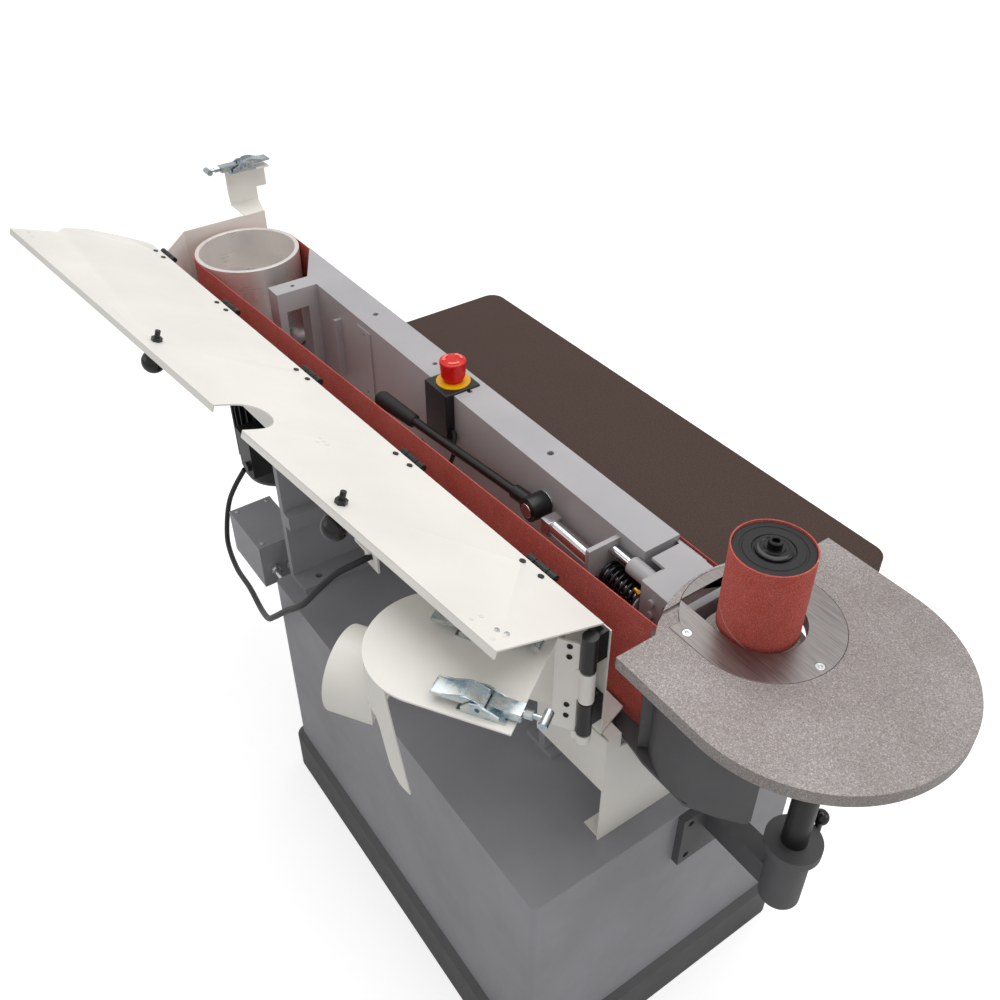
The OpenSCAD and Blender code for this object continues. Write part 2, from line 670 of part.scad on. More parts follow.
// Dust hood with its flap and end cover
h0 = [hood_x0, 102];
h1 = [1085, 149.6];
h2 = [1147, 94];
h3 = [1150, -48];
function mitre(a, b, c, t) = let (u = unit(b - a), v = unit(c - b), n = [-u[1], u[0]], m = [-v[1], v[0]])
  b + t * (n + m) / (1 + n * m);
function beside(a, b, t) = let (u = unit(b - a)) t * [-u[1], u[0]];
module hood_shell() {
  color("#ece7da") at_head() {
    difference() {
      translate([0, 0, head_lo - 2]) linear_extrude(-23 - head_lo) polygon([h0, h1, h2, h3,
        h3 + beside(h2, h3, hood_t), mitre(h1, h2, h3, hood_t), mitre(h0, h1, h2, hood_t),
        h0 + beside(h0, h1, hood_t)]);
      block(80, 150, 90, 120, head_lo - 3, -175);
    }
    difference() {
      translate([0, 0, tray_z]) linear_extrude(2)
        polygon([[214, flange_y], [858, flange_y], [858, 139.8], [214, 109.2]]);
      translate([528, 44, tray_z - 1]) cylinder(r = 5, h = 4);
    }
    translate([0, 0, head_lo]) linear_extrude(2) polygon([[870, 140.3], mitre(h0, h1, h2, 1),
      mitre(h1, h2, h3, 1), h3 + [1, 2], [1128, h3[1] + 2], [1128, 88], [1078, 126], [870, 114]]);
    translate([0, 0, -177]) linear_extrude(3) polygon([[83, 103], [96, 62], [152, 62], [152, 106.3]]);
    translate([0, 0, -27]) linear_extrude(2) polygon([[1148, -12], [1205, -12], [1205, -61], [1150, -47]]);
    translate([1203, 0, 0]) rotate([90, 0, 90]) linear_extrude(2)
      polygon([[-61, -27], [-12, -27], [-10, -5], [-10, 35], [-79, 35], [-79, -5], [-61, -5]]);
    block(1180, 1205, -79, -10, 33, 35);
    block(478, 512, 120, 152, -197, head_lo - 1);
    difference() {
      block(478, 512, 137, 140, -236, -196);
      rod_y(130, 150, 494, -217, 5);
    }
  }
}
module hood_leg() {
  color("#e2dccd") at_head() {
    translate([leg_x, 0, -cab_drop]) rotate([90, 0, 90]) linear_extrude(2)
      polygon([[-24, 0], [103, 0], [103, 171], [84, 171], [84, 150], [49, 150], [28, 88], [-5, 28]]);
    block(leg_x, leg_x + 26, -20, 101, -cab_drop, -cab_drop + 2);
    translate([leg_x, 104, 0]) rotate([0, 0, hood_a]) rotate([90, 0, 0]) linear_extrude(hood_t)
      polygon([[0, -260], [108, -260], [108, head_lo - 2], [77, head_lo - 2], [77, -177], [0, -177]]);
    block(leg_x, 100, 84, 101, -179, -177);
  }
}
module hood_hinges() {
  color("#18181a") {
    at_hood() {
      for (s = hinge_s) {
        translate([s - 22, 0, 0]) rotate([0, 90, 0]) cylinder(r = 2.6, h = 44);
        translate([s - 9, 0, 0]) rotate([0, 90, 0]) cylinder(r = 4.2, h = 18);
        block(s - 9, s + 9, hood_t + 0.06, 3.5, -24, 0);
      }
      for (z = [-65, -155]) {
        block(-42, -38, hood_t + 0.06, 23.9, z - hinge_z + 4, z - hinge_z + 41);
        block(-42, -16, hood_t + 0.06, 5, z - hinge_z + 4, z - hinge_z + 41);
      }
    }
    at_head() for (z = [-65, -155]) translate([cover_x, cover_y, z]) cylinder(r = 8, h = 45);
    at_head() translate([cover_x, cover_y, -172]) cylinder(r = 4, h = 150);
  }
}
module at_notch() { translate([406, 146]) children(); }
flap_pts = [[-37, 6], [-37, 140], [1020, 207], [1020, 140], [1040, 125], [1044, 86], [1022, 43],
  [999, 12], [990, 6]];
module hood_flap() {
  w = atan2(67, 1057);
  color("#f4f1e8") at_flap() difference() {
    union() {
      translate([0, 0, -1]) linear_extrude(2) polygon(flap_pts);
      translate([-37, 138, -8]) rotate([0, 0, w]) cube([1059, 2, 7.1]);
    }
    translate([0, 0, -20]) linear_extrude(40) at_notch() {
      circle(r = 31);
      translate([-31, 0]) square([62, 60]);
    }
    for (p = knob_s) translate([p[0], p[1], -5]) cylinder(r = 4.3, h = 10);
    for (s = hinge_s) for (i = [-14, 14]) translate([s + i, 15, -5]) cylinder(r = 1.8, h = 10);
  }
}
module flap_leaves() {
  color("#202022") at_flap() for (s = hinge_s) {
    for (i = [-21, 10]) translate([s + i, 0, 0]) rotate([0, 90, 0]) difference() {
      cylinder(r = 4.2, h = 11);
      translate([0, 0, -1]) cylinder(r = 2.6 + fit, h = 13);
    }
    for (i = [-21, 10]) block(s + i, s + i + 11, 3.6, 7, -2.4, -1);
    block(s - 21, s + 21, 6, 21, -2.4, -1);
    for (i = [-14, 14]) translate([s + i, 15, -1]) cylinder(r = 1.8, h = 2);
    for (i = [-14, 14]) translate([s + i, 15, 1]) cylinder(r = 3.4, h = 1.4);
  }
}
module flap_knob(p) {
  color("#1a1a1b") at_flap() translate([p[0], p[1], 0]) {
    translate([0, 0, -3.1]) cylinder(r = 9, h = 2);
    translate([0, 0, -14]) cylinder(r = 7, h = 11);
    translate([0, 0, -26]) sphere(r = 15);
    translate([0, 0, -1]) cylinder(r = 3.4, h = 16);
    translate([0, 0, 1.1]) hex(7, 5);
  }
}
module flap_knob_a() { flap_knob(knob_s[0]); }
module flap_knob_b() { flap_knob(knob_s[1]); }
module end_cover() {
  cp = cover_p - cover_r;
  skirt_z = cover_z - hood_t;
  color("#efeae0") at_cover() difference() {
    union() {
      translate([0, 0, skirt_z]) linear_extrude(hood_t) {
        translate([leaf_a, cp - cover_r]) square([cover_c - leaf_a, 2 * cover_r]);
        translate([cover_c, cp]) circle(r = cover_r);
      }
      block(leaf_a, cover_c, cp - cover_r, cp - cover_r + hood_t, cover_lo + 14, skirt_z + 1);
      block(leaf_a, leaf_a + hood_t, cp - cover_r, hood_t, cover_lo + 14, skirt_z + 1);
      block(8.6, leaf_a + 1, 0, hood_t, cover_lo + 14, skirt_z + hood_t);
      translate([cover_c, cp, 0]) intersection() {
        translate([0, 0, cover_lo]) ring(cover_r, cover_r - hood_t, skirt_z - cover_lo + 1);
        union() {
          translate([0, 20, 0]) rotate([90, 0, 0]) linear_extrude(100)
            polygon([[-1, cover_lo + 14], [40, cover_lo + 14], [52, skirt_lo], [90, skirt_lo],
              [90, 0], [-1, 0]]);
          rotate([90, 0, 0]) translate([0, 0, -80]) linear_extrude(100)
            polygon([[skirt_a[0], skirt_z + 1], [skirt_a[1], cover_lo], [15, -163], [25, -144],
              [35, -97], [40, skirt_lo], [90, skirt_lo], [90, skirt_z + 1]]);
        }
      }
      for (z = [-108, -168]) difference() {
        translate([0, 0, z]) cylinder(r = 8, h = z < -150 ? 11 : 41);
        translate([0, 0, z - 1]) cylinder(r = 4 + fit, h = 60);
      }
      for (z = [-108, -168]) block(4.6, 12, -3, 3, z, z + (z < -150 ? 11 : 41));
      translate([cover_c + 40, port_p, port_z]) rotate([0, 90, 0])
        cylinder(r = port_r, h = port_a - cover_c - 40);
    }
    translate([cover_c + 30, port_p, port_z]) rotate([0, 90, 0]) cylinder(r = port_r - hood_t, h = 120);
    translate([cover_c, cp, cover_lo - 20]) cylinder(r = cover_r - hood_t, h = skirt_z - cover_lo + 20);
    block(leaf_a + hood_t, cover_c, cp - cover_r + hood_t, cover_p + 1, cover_lo - 20, skirt_z);
  }
}
module latch_base() {
  difference() {
    union() {
      block(48, 94, -13, 13, 0, 2);
      for (y = [-13, 11]) translate([0, y, 0]) rotate([90, 0, 0]) mirror([0, 0, 1]) linear_extrude(2)
        polygon([[54, 1], [90, 1], [90, 6], [82, 13.6], [72, 14], [66, 11], [54, 6]]);
      block(36, 64, -7.5, 7.5, 3, 12);
      block(50, 62, -7.5, 7.5, 1, 4);
      rod_x(14, 40, 0, 8, 2.6);
      translate([27, 0, 8]) rotate([0, 90, 0]) hex(4.5, 8);
      rod_y(-9, 9, 16, 8, 4.5);
    }
    rod_y(-20, 20, 74, 8, 2.5);
  }
}
module latch_bases() {
  color("#b9c0c6") at_cover() for (i = [0, 1]) translate([latch_a[i], latch_p[i], cover_z]) latch_base();
}
module latch_handle() {
  block(74, 120, -10, 10, 12, 14);
  for (y = [-10, 8]) {
    block(74, 112, y, y + 2, 4, 12.5);
    rod_y(y, y + 2, 74, 8, 5.6);
  }
  rod_y(-13.2, 13.2, 74, 8, 2.5 - fit);
}
module latch_handle_a() {
  color("#cfd5d9") at_cover() translate([latch_a[0], latch_p[0], cover_z]) latch_handle();
}
module latch_handle_b() {
  color("#cfd5d9") at_cover() translate([latch_a[1], latch_p[1], cover_z]) latch_handle();
}
module at_drum_latch() {
  at_head() translate([1192, 38, 35]) rotate([0, 0, -90]) children();
}
module drum_latch_base() { color("#b9c0c6") at_drum_latch() latch_base(); }
module drum_latch_handle() { color("#cfd5d9") at_drum_latch() latch_handle(); }
module start_switch() {
  color("#232426") at_head() difference() {
    block(420, 500, -cab_w / 2 - 46, -cab_w / 2, -440, -370);
    for (x = [442, 478]) rod_y(-cab_w / 2 - 50, -cab_w / 2 - 26, x, -405, 11 + fit);
  }
}
module push_button(x) {
  rod_y(-cab_w / 2 - 52, -cab_w / 2 - 34, x, -405, 11);
}
module start_button() { color("#2f9e44") at_head() push_button(478); }
module stop_button() { color("#c92a2a") at_head() push_button(442); }

cabinet();
plinth();
head_girder();
inner_plates();
head_pins();
platen();
platen_pad();
motor_plate();
motor_body();
fan_cowl();
motor_shaft();
drive_drum();
stands();
junction_box();
stand_off_bolts();
conduit();
estop_box();
estop_ring();
estop_button();
estop_cable();
lever_hub();
lever_grip();
tension_rod();
tension_spring();
grease_nipple();
idler_carriage();
carriage_plates();
idler_drum();
spindle();
bobbin_core();
bobbin_sleeve();
bobbin_washer();
sanding_belt();
end_table();
table_insert();
insert_screws();
table_column();
table_sockets();
column_lock();
post_lock_a();
post_lock_b();
idler_guard();
main_table();
table_posts();
hood_shell();
hood_leg();
hood_hinges();
hood_flap();
flap_leaves();
flap_knob_a();
flap_knob_b();
end_cover();
latch_bases();
latch_handle_a();
latch_handle_b();
drum_latch_base();
drum_latch_handle();
start_switch();
start_button();
stop_button();
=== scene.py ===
"""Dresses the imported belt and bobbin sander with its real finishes, edges, fasteners and a plain studio."""

import json
import math

import bmesh
import bpy
from mathutils import Matrix, Vector


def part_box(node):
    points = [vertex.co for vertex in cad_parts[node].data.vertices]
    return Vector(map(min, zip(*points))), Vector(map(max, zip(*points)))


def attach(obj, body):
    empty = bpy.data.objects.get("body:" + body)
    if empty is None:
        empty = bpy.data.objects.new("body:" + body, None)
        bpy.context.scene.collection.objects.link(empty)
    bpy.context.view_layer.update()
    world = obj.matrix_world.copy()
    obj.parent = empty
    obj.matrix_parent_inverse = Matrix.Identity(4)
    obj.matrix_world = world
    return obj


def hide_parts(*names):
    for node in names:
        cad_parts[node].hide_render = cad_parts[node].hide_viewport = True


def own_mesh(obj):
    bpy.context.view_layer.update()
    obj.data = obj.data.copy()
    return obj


bl_info = {
    "name": "Belt and bobbin sander",
    "version": (1, 0, 0),
    "blender": (4, 5, 0),
    "location": "View3D > Sidebar > Sander",
    "description": "Finishes, fasteners and studio for a belt and bobbin sander built on its CAD frame",
    "category": "Object",
}

MM = 0.001
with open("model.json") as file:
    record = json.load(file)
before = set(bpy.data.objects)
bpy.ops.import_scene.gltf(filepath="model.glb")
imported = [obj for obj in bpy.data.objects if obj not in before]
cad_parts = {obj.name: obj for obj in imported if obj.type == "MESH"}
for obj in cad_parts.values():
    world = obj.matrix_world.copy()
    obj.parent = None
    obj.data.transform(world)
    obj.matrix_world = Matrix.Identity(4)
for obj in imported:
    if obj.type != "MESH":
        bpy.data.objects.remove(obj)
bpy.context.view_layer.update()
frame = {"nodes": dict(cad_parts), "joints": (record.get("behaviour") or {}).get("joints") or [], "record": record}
BODY_OF = {n: body for body, names in frame["record"]["behaviour"]["bodies"].items() for n in names}
SLOT_OF = {part["node"]: part["material_slot"] for part in frame["record"]["subparts"]}


def middle(node):
    """The middle of a CAD node's box, in metres."""
    low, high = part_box(node)
    return (low + high) / 2


def joint_named(name):
    return next(j for j in frame["joints"] if j["name"] == name)


# The head's own origin: the bobbin axis at the height of the end table.
ORIGIN = Vector((middle("spindle").x, middle("spindle").y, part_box("end_table")[1].z))
DRUM = Vector((middle("drive_drum").x, middle("drive_drum").y, ORIGIN.z))
# The end cover's turn about Z in the rest pose, in degrees.
COVER_TURN = 33
# The flap's slope at rest, in degrees.
FLAP_LIFT = 20
# Where the belt's splice crosses end table height, in metres along the belt, and how far it leans.
SPLICE_AT = 0.28
SPLICE_LEAN = 0.7
# The sleeve's seam in mm: its climb in one turn, and its height above the end table where it starts.
SEAM_CLIMB = 120
SEAM_START = 34

# The camera that was fitted to the photograph: yaw, pitch and roll in degrees, place in mm, and lens shift.
VIEW_TURN = (-34.53, 37.99, -0.465)
VIEW_FROM = (-405.41, 575.11, 673.02)
VIEW_SHIFT = (0.0116, -0.0176)
# Area lamps: name, place and aim in metres, width and depth in metres, power in watts.
LAMPS = (("overhead", (0.1, -0.5, 3.2), (0.1, 0.0, 0.6), 3.4, 2.6, 46),
         ("right_side", (-2.6, -2.2, 1.9), (-0.2, 0.0, 0.7), 1.6, 1.6, 12),
         ("left_side", (1.6, 2.6, 1.8), (0.2, 0.1, 0.6), 1.8, 1.6, 6))
WORLD_GLOW = 0.62
FLOOR_GLOW = 0.6
FLOOR_REACH = 14


def head(x, y, z):
    """A point given in mm from the bobbin axis at end table height."""
    return ORIGIN + Vector((x, y, z)) * MM


class SanderFinish(bpy.types.PropertyGroup):
    """Colours of the sander's finishes."""

    cream: bpy.props.StringProperty(
        name="Hood", description="Powder coat of the hood, flap and cover", default="#e9e6df")
    grey: bpy.props.StringProperty(
        name="Cabinet", description="Powder coat of the cabinet and stands", default="#939397")
    head_grey: bpy.props.StringProperty(
        name="Head", description="Paint of the head casting", default="#adabad")
    dark: bpy.props.StringProperty(
        name="Plinth", description="Paint of the plinth and dark castings", default="#4b4a4c")
    black: bpy.props.StringProperty(
        name="Black parts", description="Black enamel and plastics", default="#1b1b1c")
    table: bpy.props.StringProperty(
        name="End table", description="Hammer finish of the end table", default="#a19b99")
    brown: bpy.props.StringProperty(
        name="Main table", description="Texture coat of the main table", default="#43322b")
    grit: bpy.props.StringProperty(
        name="Abrasive", description="Aluminium oxide grit", default="#bd5d54")
    red: bpy.props.StringProperty(
        name="Stop button", description="Moulded stop button", default="#d8140c")
    yellow: bpy.props.StringProperty(
        name="Stop ring", description="Moulded ring under the stop button", default="#eeb200")


class SanderSizes(bpy.types.PropertyGroup):
    """Settings of the studio camera."""

    camera_lens: bpy.props.FloatProperty(
        name="Lens", description="Focal length of the view", default=37.19, unit="CAMERA")


# Helpers for materials

def linear(code):
    """A linear colour from an sRGB hex value."""
    parts = [int(code[i:i + 2], 16) / 255 for i in (1, 3, 5)]
    return tuple(c / 12.92 if c <= 0.04045 else ((c + 0.055) / 1.055) ** 2.4 for c in parts) + (1.0,)


def shade(code, factor):
    """The same hex colour, darker or lighter by a factor."""
    parts = [min(255, max(0, round(int(code[i:i + 2], 16) * factor))) for i in (1, 3, 5)]
    return "#%02x%02x%02x" % tuple(parts)


def per_mm(size):
    """Texture scale at which one feature is about size mm wide."""
    return 1000.0 / size


def add(tree, kind, inputs=(), **settings):
    """Adds a node with its settings; an input is a value or another node's output."""
    made = tree.nodes.new(kind)
    for key, value in settings.items():
        setattr(made, key, value)
    for key, value in dict(inputs).items():
        if isinstance(value, bpy.types.NodeSocket):
            tree.links.new(value, made.inputs[key])
        else:
            made.inputs[key].default_value = value
    return made


def bare_tree(owner):
    """The node tree of a material or world, emptied."""
    owner.use_nodes = True
    owner.node_tree.nodes.clear()
    return owner.node_tree


def surface(name, **constants):
    """A new material with one shader whose plain values are set on its own sockets."""
    made = bpy.data.materials.new(name)
    tree = bare_tree(made)
    shader = add(tree, "ShaderNodeBsdfPrincipled", constants)
    out = add(tree, "ShaderNodeOutputMaterial", {"Surface": shader.outputs[0]})
    out.name = "Finish"
    return made, tree, shader


def place(tree, centre=(0, 0, 0), scale=(1, 1, 1)):
    """Object coordinates, moved to a centre and stretched."""
    coordinate = add(tree, "ShaderNodeTexCoord")
    moved = add(tree, "ShaderNodeVectorMath", {0: coordinate.outputs["Object"], 1: tuple(centre)},
                operation="SUBTRACT")
    return add(tree, "ShaderNodeMapping", {"Vector": moved.outputs[0], "Scale": scale}).outputs[0]


def calc(tree, operation, *values):
    """One sum on plain values or other nodes' outputs."""
    return add(tree, "ShaderNodeMath", dict(enumerate(values)), operation=operation).outputs[0]


def split(tree, vector):
    return add(tree, "ShaderNodeSeparateXYZ", {0: vector}).outputs


def mixed(tree, factor, one, other, kind="MIX"):
    """Two colours mixed, or multiplied where kind says so."""
    return add(tree, "ShaderNodeMix", {0: factor, 6: one, 7: other}, data_type="RGBA",
               blend_type=kind).outputs[2]


def paint(tree, shader, colour, gloss):
    """Gives the shader its colour and its roughness."""
    tree.links.new(colour, shader.inputs["Base Color"])
    tree.links.new(gloss, shader.inputs["Roughness"])


def noise(tree, vector, size, detail=3.0, rough=0.5):
    return add(tree, "ShaderNodeTexNoise", {"Vector": vector, "Scale": per_mm(size), "Detail": detail,
                                            "Roughness": rough}).outputs["Fac"]


def ramp(tree, value, stops):
    """A colour ramp; each stop is a place and a hex colour."""
    made = add(tree, "ShaderNodeValToRGB", {"Fac": value})
    points = made.color_ramp.elements
    while len(points) < len(stops):
        points.new(0.5)
    for point, (where, code) in zip(points, stops):
        point.position = where
        point.color = linear(code)
    return made.outputs["Color"]


def spread(tree, value, low, high, start=0.0, end=1.0):
    return add(tree, "ShaderNodeMapRange", {"Value": value, "From Min": start, "From Max": end, "To Min": low,
                                            "To Max": high}).outputs["Result"]


def bump(tree, shader, height, strength, depth):
    made = add(tree, "ShaderNodeBump", {"Height": height, "Strength": strength, "Distance": depth * MM})
    tree.links.new(made.outputs["Normal"], shader.inputs["Normal"])


def coat(name, colour, grain, depth, rough, spot):
    """A sprayed and baked coat: slow tone change, a fine orange peel and an uneven gloss."""
    made, tree, shader = surface(name)
    where = place(tree)
    slow = noise(tree, where, 130, 4)
    peel = noise(tree, where, grain, 2)
    paint(tree, shader,
          ramp(tree, slow, [(0.3, shade(colour, 1 - spot)), (0.7, shade(colour, 1 + spot * 0.5))]),
          spread(tree, noise(tree, where, 22, 3), rough - 0.06, rough + 0.08))
    bump(tree, shader, peel, 0.35, depth)
    return made


# Finishes

def cream_powder_coat(look):
    """Smooth polyester powder coat on folded sheet: soft gloss, faint orange peel."""
    return coat("cream_powder_coat", look.cream, 2.2, 0.05, 0.36, 0.025)


def grey_powder_coat(look):
    """Grey powder coat on the cabinet: satin, with a fine grain."""
    return coat("grey_powder_coat", look.grey, 1.4, 0.09, 0.46, 0.06)


def head_enamel(look):
    """Light grey enamel on the machined head casting."""
    return coat("head_grey_enamel", look.head_grey, 1.8, 0.06, 0.36, 0.05)


def plinth_enamel(look):
    """Near black enamel on the plinth."""
    return coat("plinth_black_enamel", look.dark, 1.6, 0.08, 0.42, 0.1)


def black_enamel(look):
    """Black enamel on hinges, motor and lever: deep, with some gloss."""
    return coat("black_enamel", look.black, 1.6, 0.08, 0.34, 0.2)


def cast_enamel(look):
    """Dark paint over a sand casting: the sand's grain shows through."""
    return coat("dark_cast_enamel", shade(look.dark, 1.12), 3.5, 0.35, 0.5, 0.12)


def hammer_finish(look):
    """Silver grey texture coat on the end table: fine dark pits between metallic flakes."""
    made, tree, shader = surface("hammer_finish", **{"Metallic": 0.25})
    where = place(tree)
    # The flakes are drawn about 1.3 mm wide, coarser than real ones, so that they show.
    fleck = noise(tree, where, 1.3, 4, 0.7)
    slow = noise(tree, where, 90, 3)
    tone = ramp(tree, fleck, [(0.32, shade(look.table, 0.72)), (0.47, shade(look.table, 0.96)),
                              (0.55, look.table), (0.68, shade(look.table, 1.3))])
    drift = ramp(tree, slow, [(0.3, "#e4e0de"), (0.7, "#ffffff")])
    paint(tree, shader, mixed(tree, 1.0, tone, drift, "MULTIPLY"), spread(tree, fleck, 0.5, 0.32, 0.3, 0.7))
    bump(tree, shader, fleck, 0.5, 0.12)
    return made


def brown_texture_coat(look):
    """Brown texture coat on the main table: matt, with a dense fine grain."""
    made, tree, shader = surface("brown_texture_coat", **{"Specular IOR Level": 0.22})
    where = place(tree)
    grain = noise(tree, where, 1.5, 3, 0.65)
    paint(tree, shader,
          ramp(tree, grain, [(0.3, shade(look.brown, 0.78)), (0.52, look.brown),
                             (0.72, shade(look.brown, 1.35))]),
          spread(tree, noise(tree, where, 60, 3), 0.42, 0.58))
    bump(tree, shader, grain, 0.45, 0.12)
    return made


def metal(name, colour, rough, streak=(1, 1, 1), size=3.0, depth=0.02, contrast=0.12):
    """Bare metal: tone and gloss vary along the marks that the tool left."""
    made, tree, shader = surface(name, **{"Metallic": 1.0})
    where = place(tree, scale=streak)
    mark = noise(tree, where, size, 5, 0.6)
    paint(tree, shader,
          ramp(tree, mark, [(0.3, shade(colour, 1 - contrast)), (0.7, shade(colour, 1 + contrast * 0.6))]),
          spread(tree, mark, rough - 0.05, rough + 0.07, 0.3, 0.7))
    bump(tree, shader, mark, 0.3, depth)
    return made


def ground_steel(look):
    """Ground steel insert: fine straight grinding marks along the belt's direction."""
    return metal("ground_steel", "#8f8a88", 0.33, (0.03, 1, 1), 1.1, contrast=0.16)


def bright_steel(look):
    """Machined and oiled steel."""
    return metal("machined_steel", "#b9b9b8", 0.28, (1, 1, 0.2), 2.5)


def chrome_plate(look):
    """Bright chrome plate: nearly a mirror, with faint polishing haze."""
    return metal("chrome_plate", "#dfe1e3", 0.12, (1, 1, 1), 14, 0.004, contrast=0.05)


def zinc_plate(look):
    """Blue passivated zinc: a cool sheen with slight clouds."""
    made, tree, shader = surface("blue_zinc_plate", **{"Metallic": 1.0})
    where = place(tree)
    cloud = noise(tree, where, 9, 3)
    paint(tree, shader, ramp(tree, cloud, [(0.3, "#a9bcc6"), (0.5, "#c9d3d8"), (0.7, "#d9d8cc")]),
          spread(tree, cloud, 0.2, 0.34, 0.3, 0.7))
    bump(tree, shader, noise(tree, where, 2.5, 3), 0.25, 0.03)
    return made


def brass(look):
    """Machined brass of the grease nipple."""
    return metal("machined_brass", "#b98b3a", 0.3, (1, 1, 0.3), 2.0)


def turned_metal(name, colour, centre):
    """Turned aluminium, dulled by dust: the lathe leaves fine rings, and the wall reads pale and soft."""
    made, tree, shader = surface(name, **{"Metallic": 0.6})
    where = place(tree, centre)
    x, y, z = split(tree, where)
    flat = add(tree, "ShaderNodeCombineXYZ", {0: x, 1: y})
    radius = add(tree, "ShaderNodeVectorMath", {0: flat.outputs[0]}, operation="LENGTH").outputs["Value"]
    ring = add(tree, "ShaderNodeCombineXYZ", {0: radius, 2: z}).outputs[0]
    mark = noise(tree, ring, 1.3, 4, 0.7)
    cloud = noise(tree, where, 30, 3)
    both = calc(tree, "ADD", mark, cloud)
    paint(tree, shader, ramp(tree, both, [(0.35, shade(colour, 0.86)), (0.65, shade(colour, 1.08))]),
          spread(tree, both, 0.24, 0.42, 0.7, 1.3))
    bump(tree, shader, mark, 0.35, 0.05)
    return made


def moulded(name, colour, rough, grain=1.0, depth=0.03):
    """Moulded plastic: even colour, slight spark-eroded grain."""
    made, tree, shader = surface(name, **{"IOR": 1.5})
    where = place(tree)
    fine = noise(tree, where, grain, 2)
    paint(tree, shader, ramp(tree, noise(tree, where, 18, 2), [(0.3, shade(colour, 0.93)), (0.7, colour)]),
          spread(tree, fine, rough - 0.04, rough + 0.05, 0.3, 0.7))
    bump(tree, shader, fine, 0.3, depth)
    return made


def rubber(look):
    """Moulded black rubber: matt with a soft sheen."""
    return moulded("moulded_rubber", "#1c1c1c", 0.62, 1.2, 0.05)


def grit_cloth(name, colour, size=1.1):
    """Aluminium oxide grit on cloth: sparkling grains over resin, some worn pale."""
    made, tree, shader = surface(name, **{"Specular IOR Level": 0.35})
    where = place(tree)
    # Real grains are about 0.2 mm wide; they are drawn about 1.1 mm wide so that they show.
    cells = add(tree, "ShaderNodeTexVoronoi", {"Vector": where, "Scale": per_mm(size), "Randomness": 1.0})
    fine = noise(tree, where, size * 0.8, 4, 0.75)
    worn = noise(tree, where, 45, 4, 0.6)
    grain = ramp(tree, fine, [(0.3, shade(colour, 0.62)), (0.5, colour), (0.66, shade(colour, 1.28)),
                              (0.75, shade(colour, 1.7))])
    dust = ramp(tree, worn, [(0.35, "#ffffff"), (0.7, "#f0dcd4")])
    paint(tree, shader, mixed(tree, 1.0, grain, dust, "MULTIPLY"), spread(tree, fine, 0.95, 0.68, 0.3, 0.75))
    bump(tree, shader, calc(tree, "MULTIPLY", cells.outputs["Distance"], fine), 0.8, 0.45)
    return made


def seam_over(tree, distance, width, pale):
    """Draws a pale seam where a distance in metres is near nought; its width is in mm."""
    shader = next(n for n in tree.nodes if n.bl_idname == "ShaderNodeBsdfPrincipled")
    mask = spread(tree, calc(tree, "ABSOLUTE", distance), 1.0, 0.0, width * 0.6 * MM, width * MM)
    colour = shader.inputs["Base Color"]
    tree.links.new(mixed(tree, mask, colour.links[0].from_socket, linear(pale)), colour)


def spliced_sleeve(look):
    """Grit sleeve of the bobbin: the pale line where the cloth strip was wound and glued."""
    made = grit_cloth("grit_sleeve", look.grit)
    tree = made.node_tree
    x, y, z = split(tree, place(tree, ORIGIN))
    climb = calc(tree, "MULTIPLY", calc(tree, "ARCTAN2", y, x), SEAM_CLIMB * MM / (2 * math.pi))
    gap = calc(tree, "SUBTRACT", calc(tree, "ADD", z, climb), SEAM_START * MM)
    seam_over(tree, gap, 0.9, "#c98f80")
    return made


def spliced_belt(look):
    """Grit side of the belt, with the slanted pale splice; the map runs along the belt in metres."""
    made = grit_cloth("belt_grit_cloth", look.grit)
    tree = made.node_tree
    u, v, _ = split(tree, add(tree, "ShaderNodeUVMap", uv_map="along").outputs[0])
    gap = calc(tree, "SUBTRACT", u, calc(tree, "MULTIPLY", v, SPLICE_LEAN))
    seam_over(tree, calc(tree, "SUBTRACT", gap, SPLICE_AT), 1.6, "#d7b3a2")
    return made


def backing_cloth(look):
    """Tan cotton backing seen at the belt's edges and inside."""
    return moulded("cotton_backing", "#b98f78", 0.85, 0.9, 0.15)


def graphite_cloth(look):
    """Graphite coated canvas glued to the platen."""
    return moulded("graphite_canvas", "#26262a", 0.55, 1.5, 0.2)


FINISHES = {
    "hood_cream": cream_powder_coat,
    "frame_grey": grey_powder_coat,
    "head_paint": head_enamel,
    "plinth_black": plinth_enamel,
    "black_paint": black_enamel,
    "cast_dark": cast_enamel,
    "table_speckle": hammer_finish,
    "table_brown": brown_texture_coat,
    "steel": bright_steel,
    "insert_steel": ground_steel,
    "chrome": chrome_plate,
    "zinc": zinc_plate,
    "brass": brass,
    "drive_metal": lambda look: turned_metal("turned_drive_drum", "#dcd8d4", DRUM),
    "idler_metal": lambda look: turned_metal("turned_idler_drum", "#dcd8d4", ORIGIN),
    "abrasive": lambda look: grit_cloth("grit_cloth", look.grit),
    "cloth": backing_cloth,
    "graphite": graphite_cloth,
    "black_plastic": lambda look: moulded("black_polyamide", shade(look.black, 1.15), 0.42, 1.2, 0.05),
    "black_gloss": lambda look: moulded("black_bakelite", look.black, 0.16, 6.0, 0.01),
    "bobbin_grit": spliced_sleeve,
    "belt_grit": spliced_belt,
    "red_mark": lambda look: moulded("raised_red_mark", "#ff7f6e", 0.35, 3.0, 0.01),
    "bolt_black": lambda look: metal("black_oxide_steel", "#3c3b3d", 0.38),
    "red_plastic": lambda look: moulded("red_polycarbonate", look.red, 0.3, 3.0, 0.01),
    "yellow_plastic": lambda look: moulded("yellow_polycarbonate", look.yellow, 0.34, 3.0, 0.01),
    "green_plastic": lambda look: moulded("green_polycarbonate", "#2f9e44", 0.3, 3.0, 0.01),
    "rubber_black": rubber,
}
made_finishes = {}


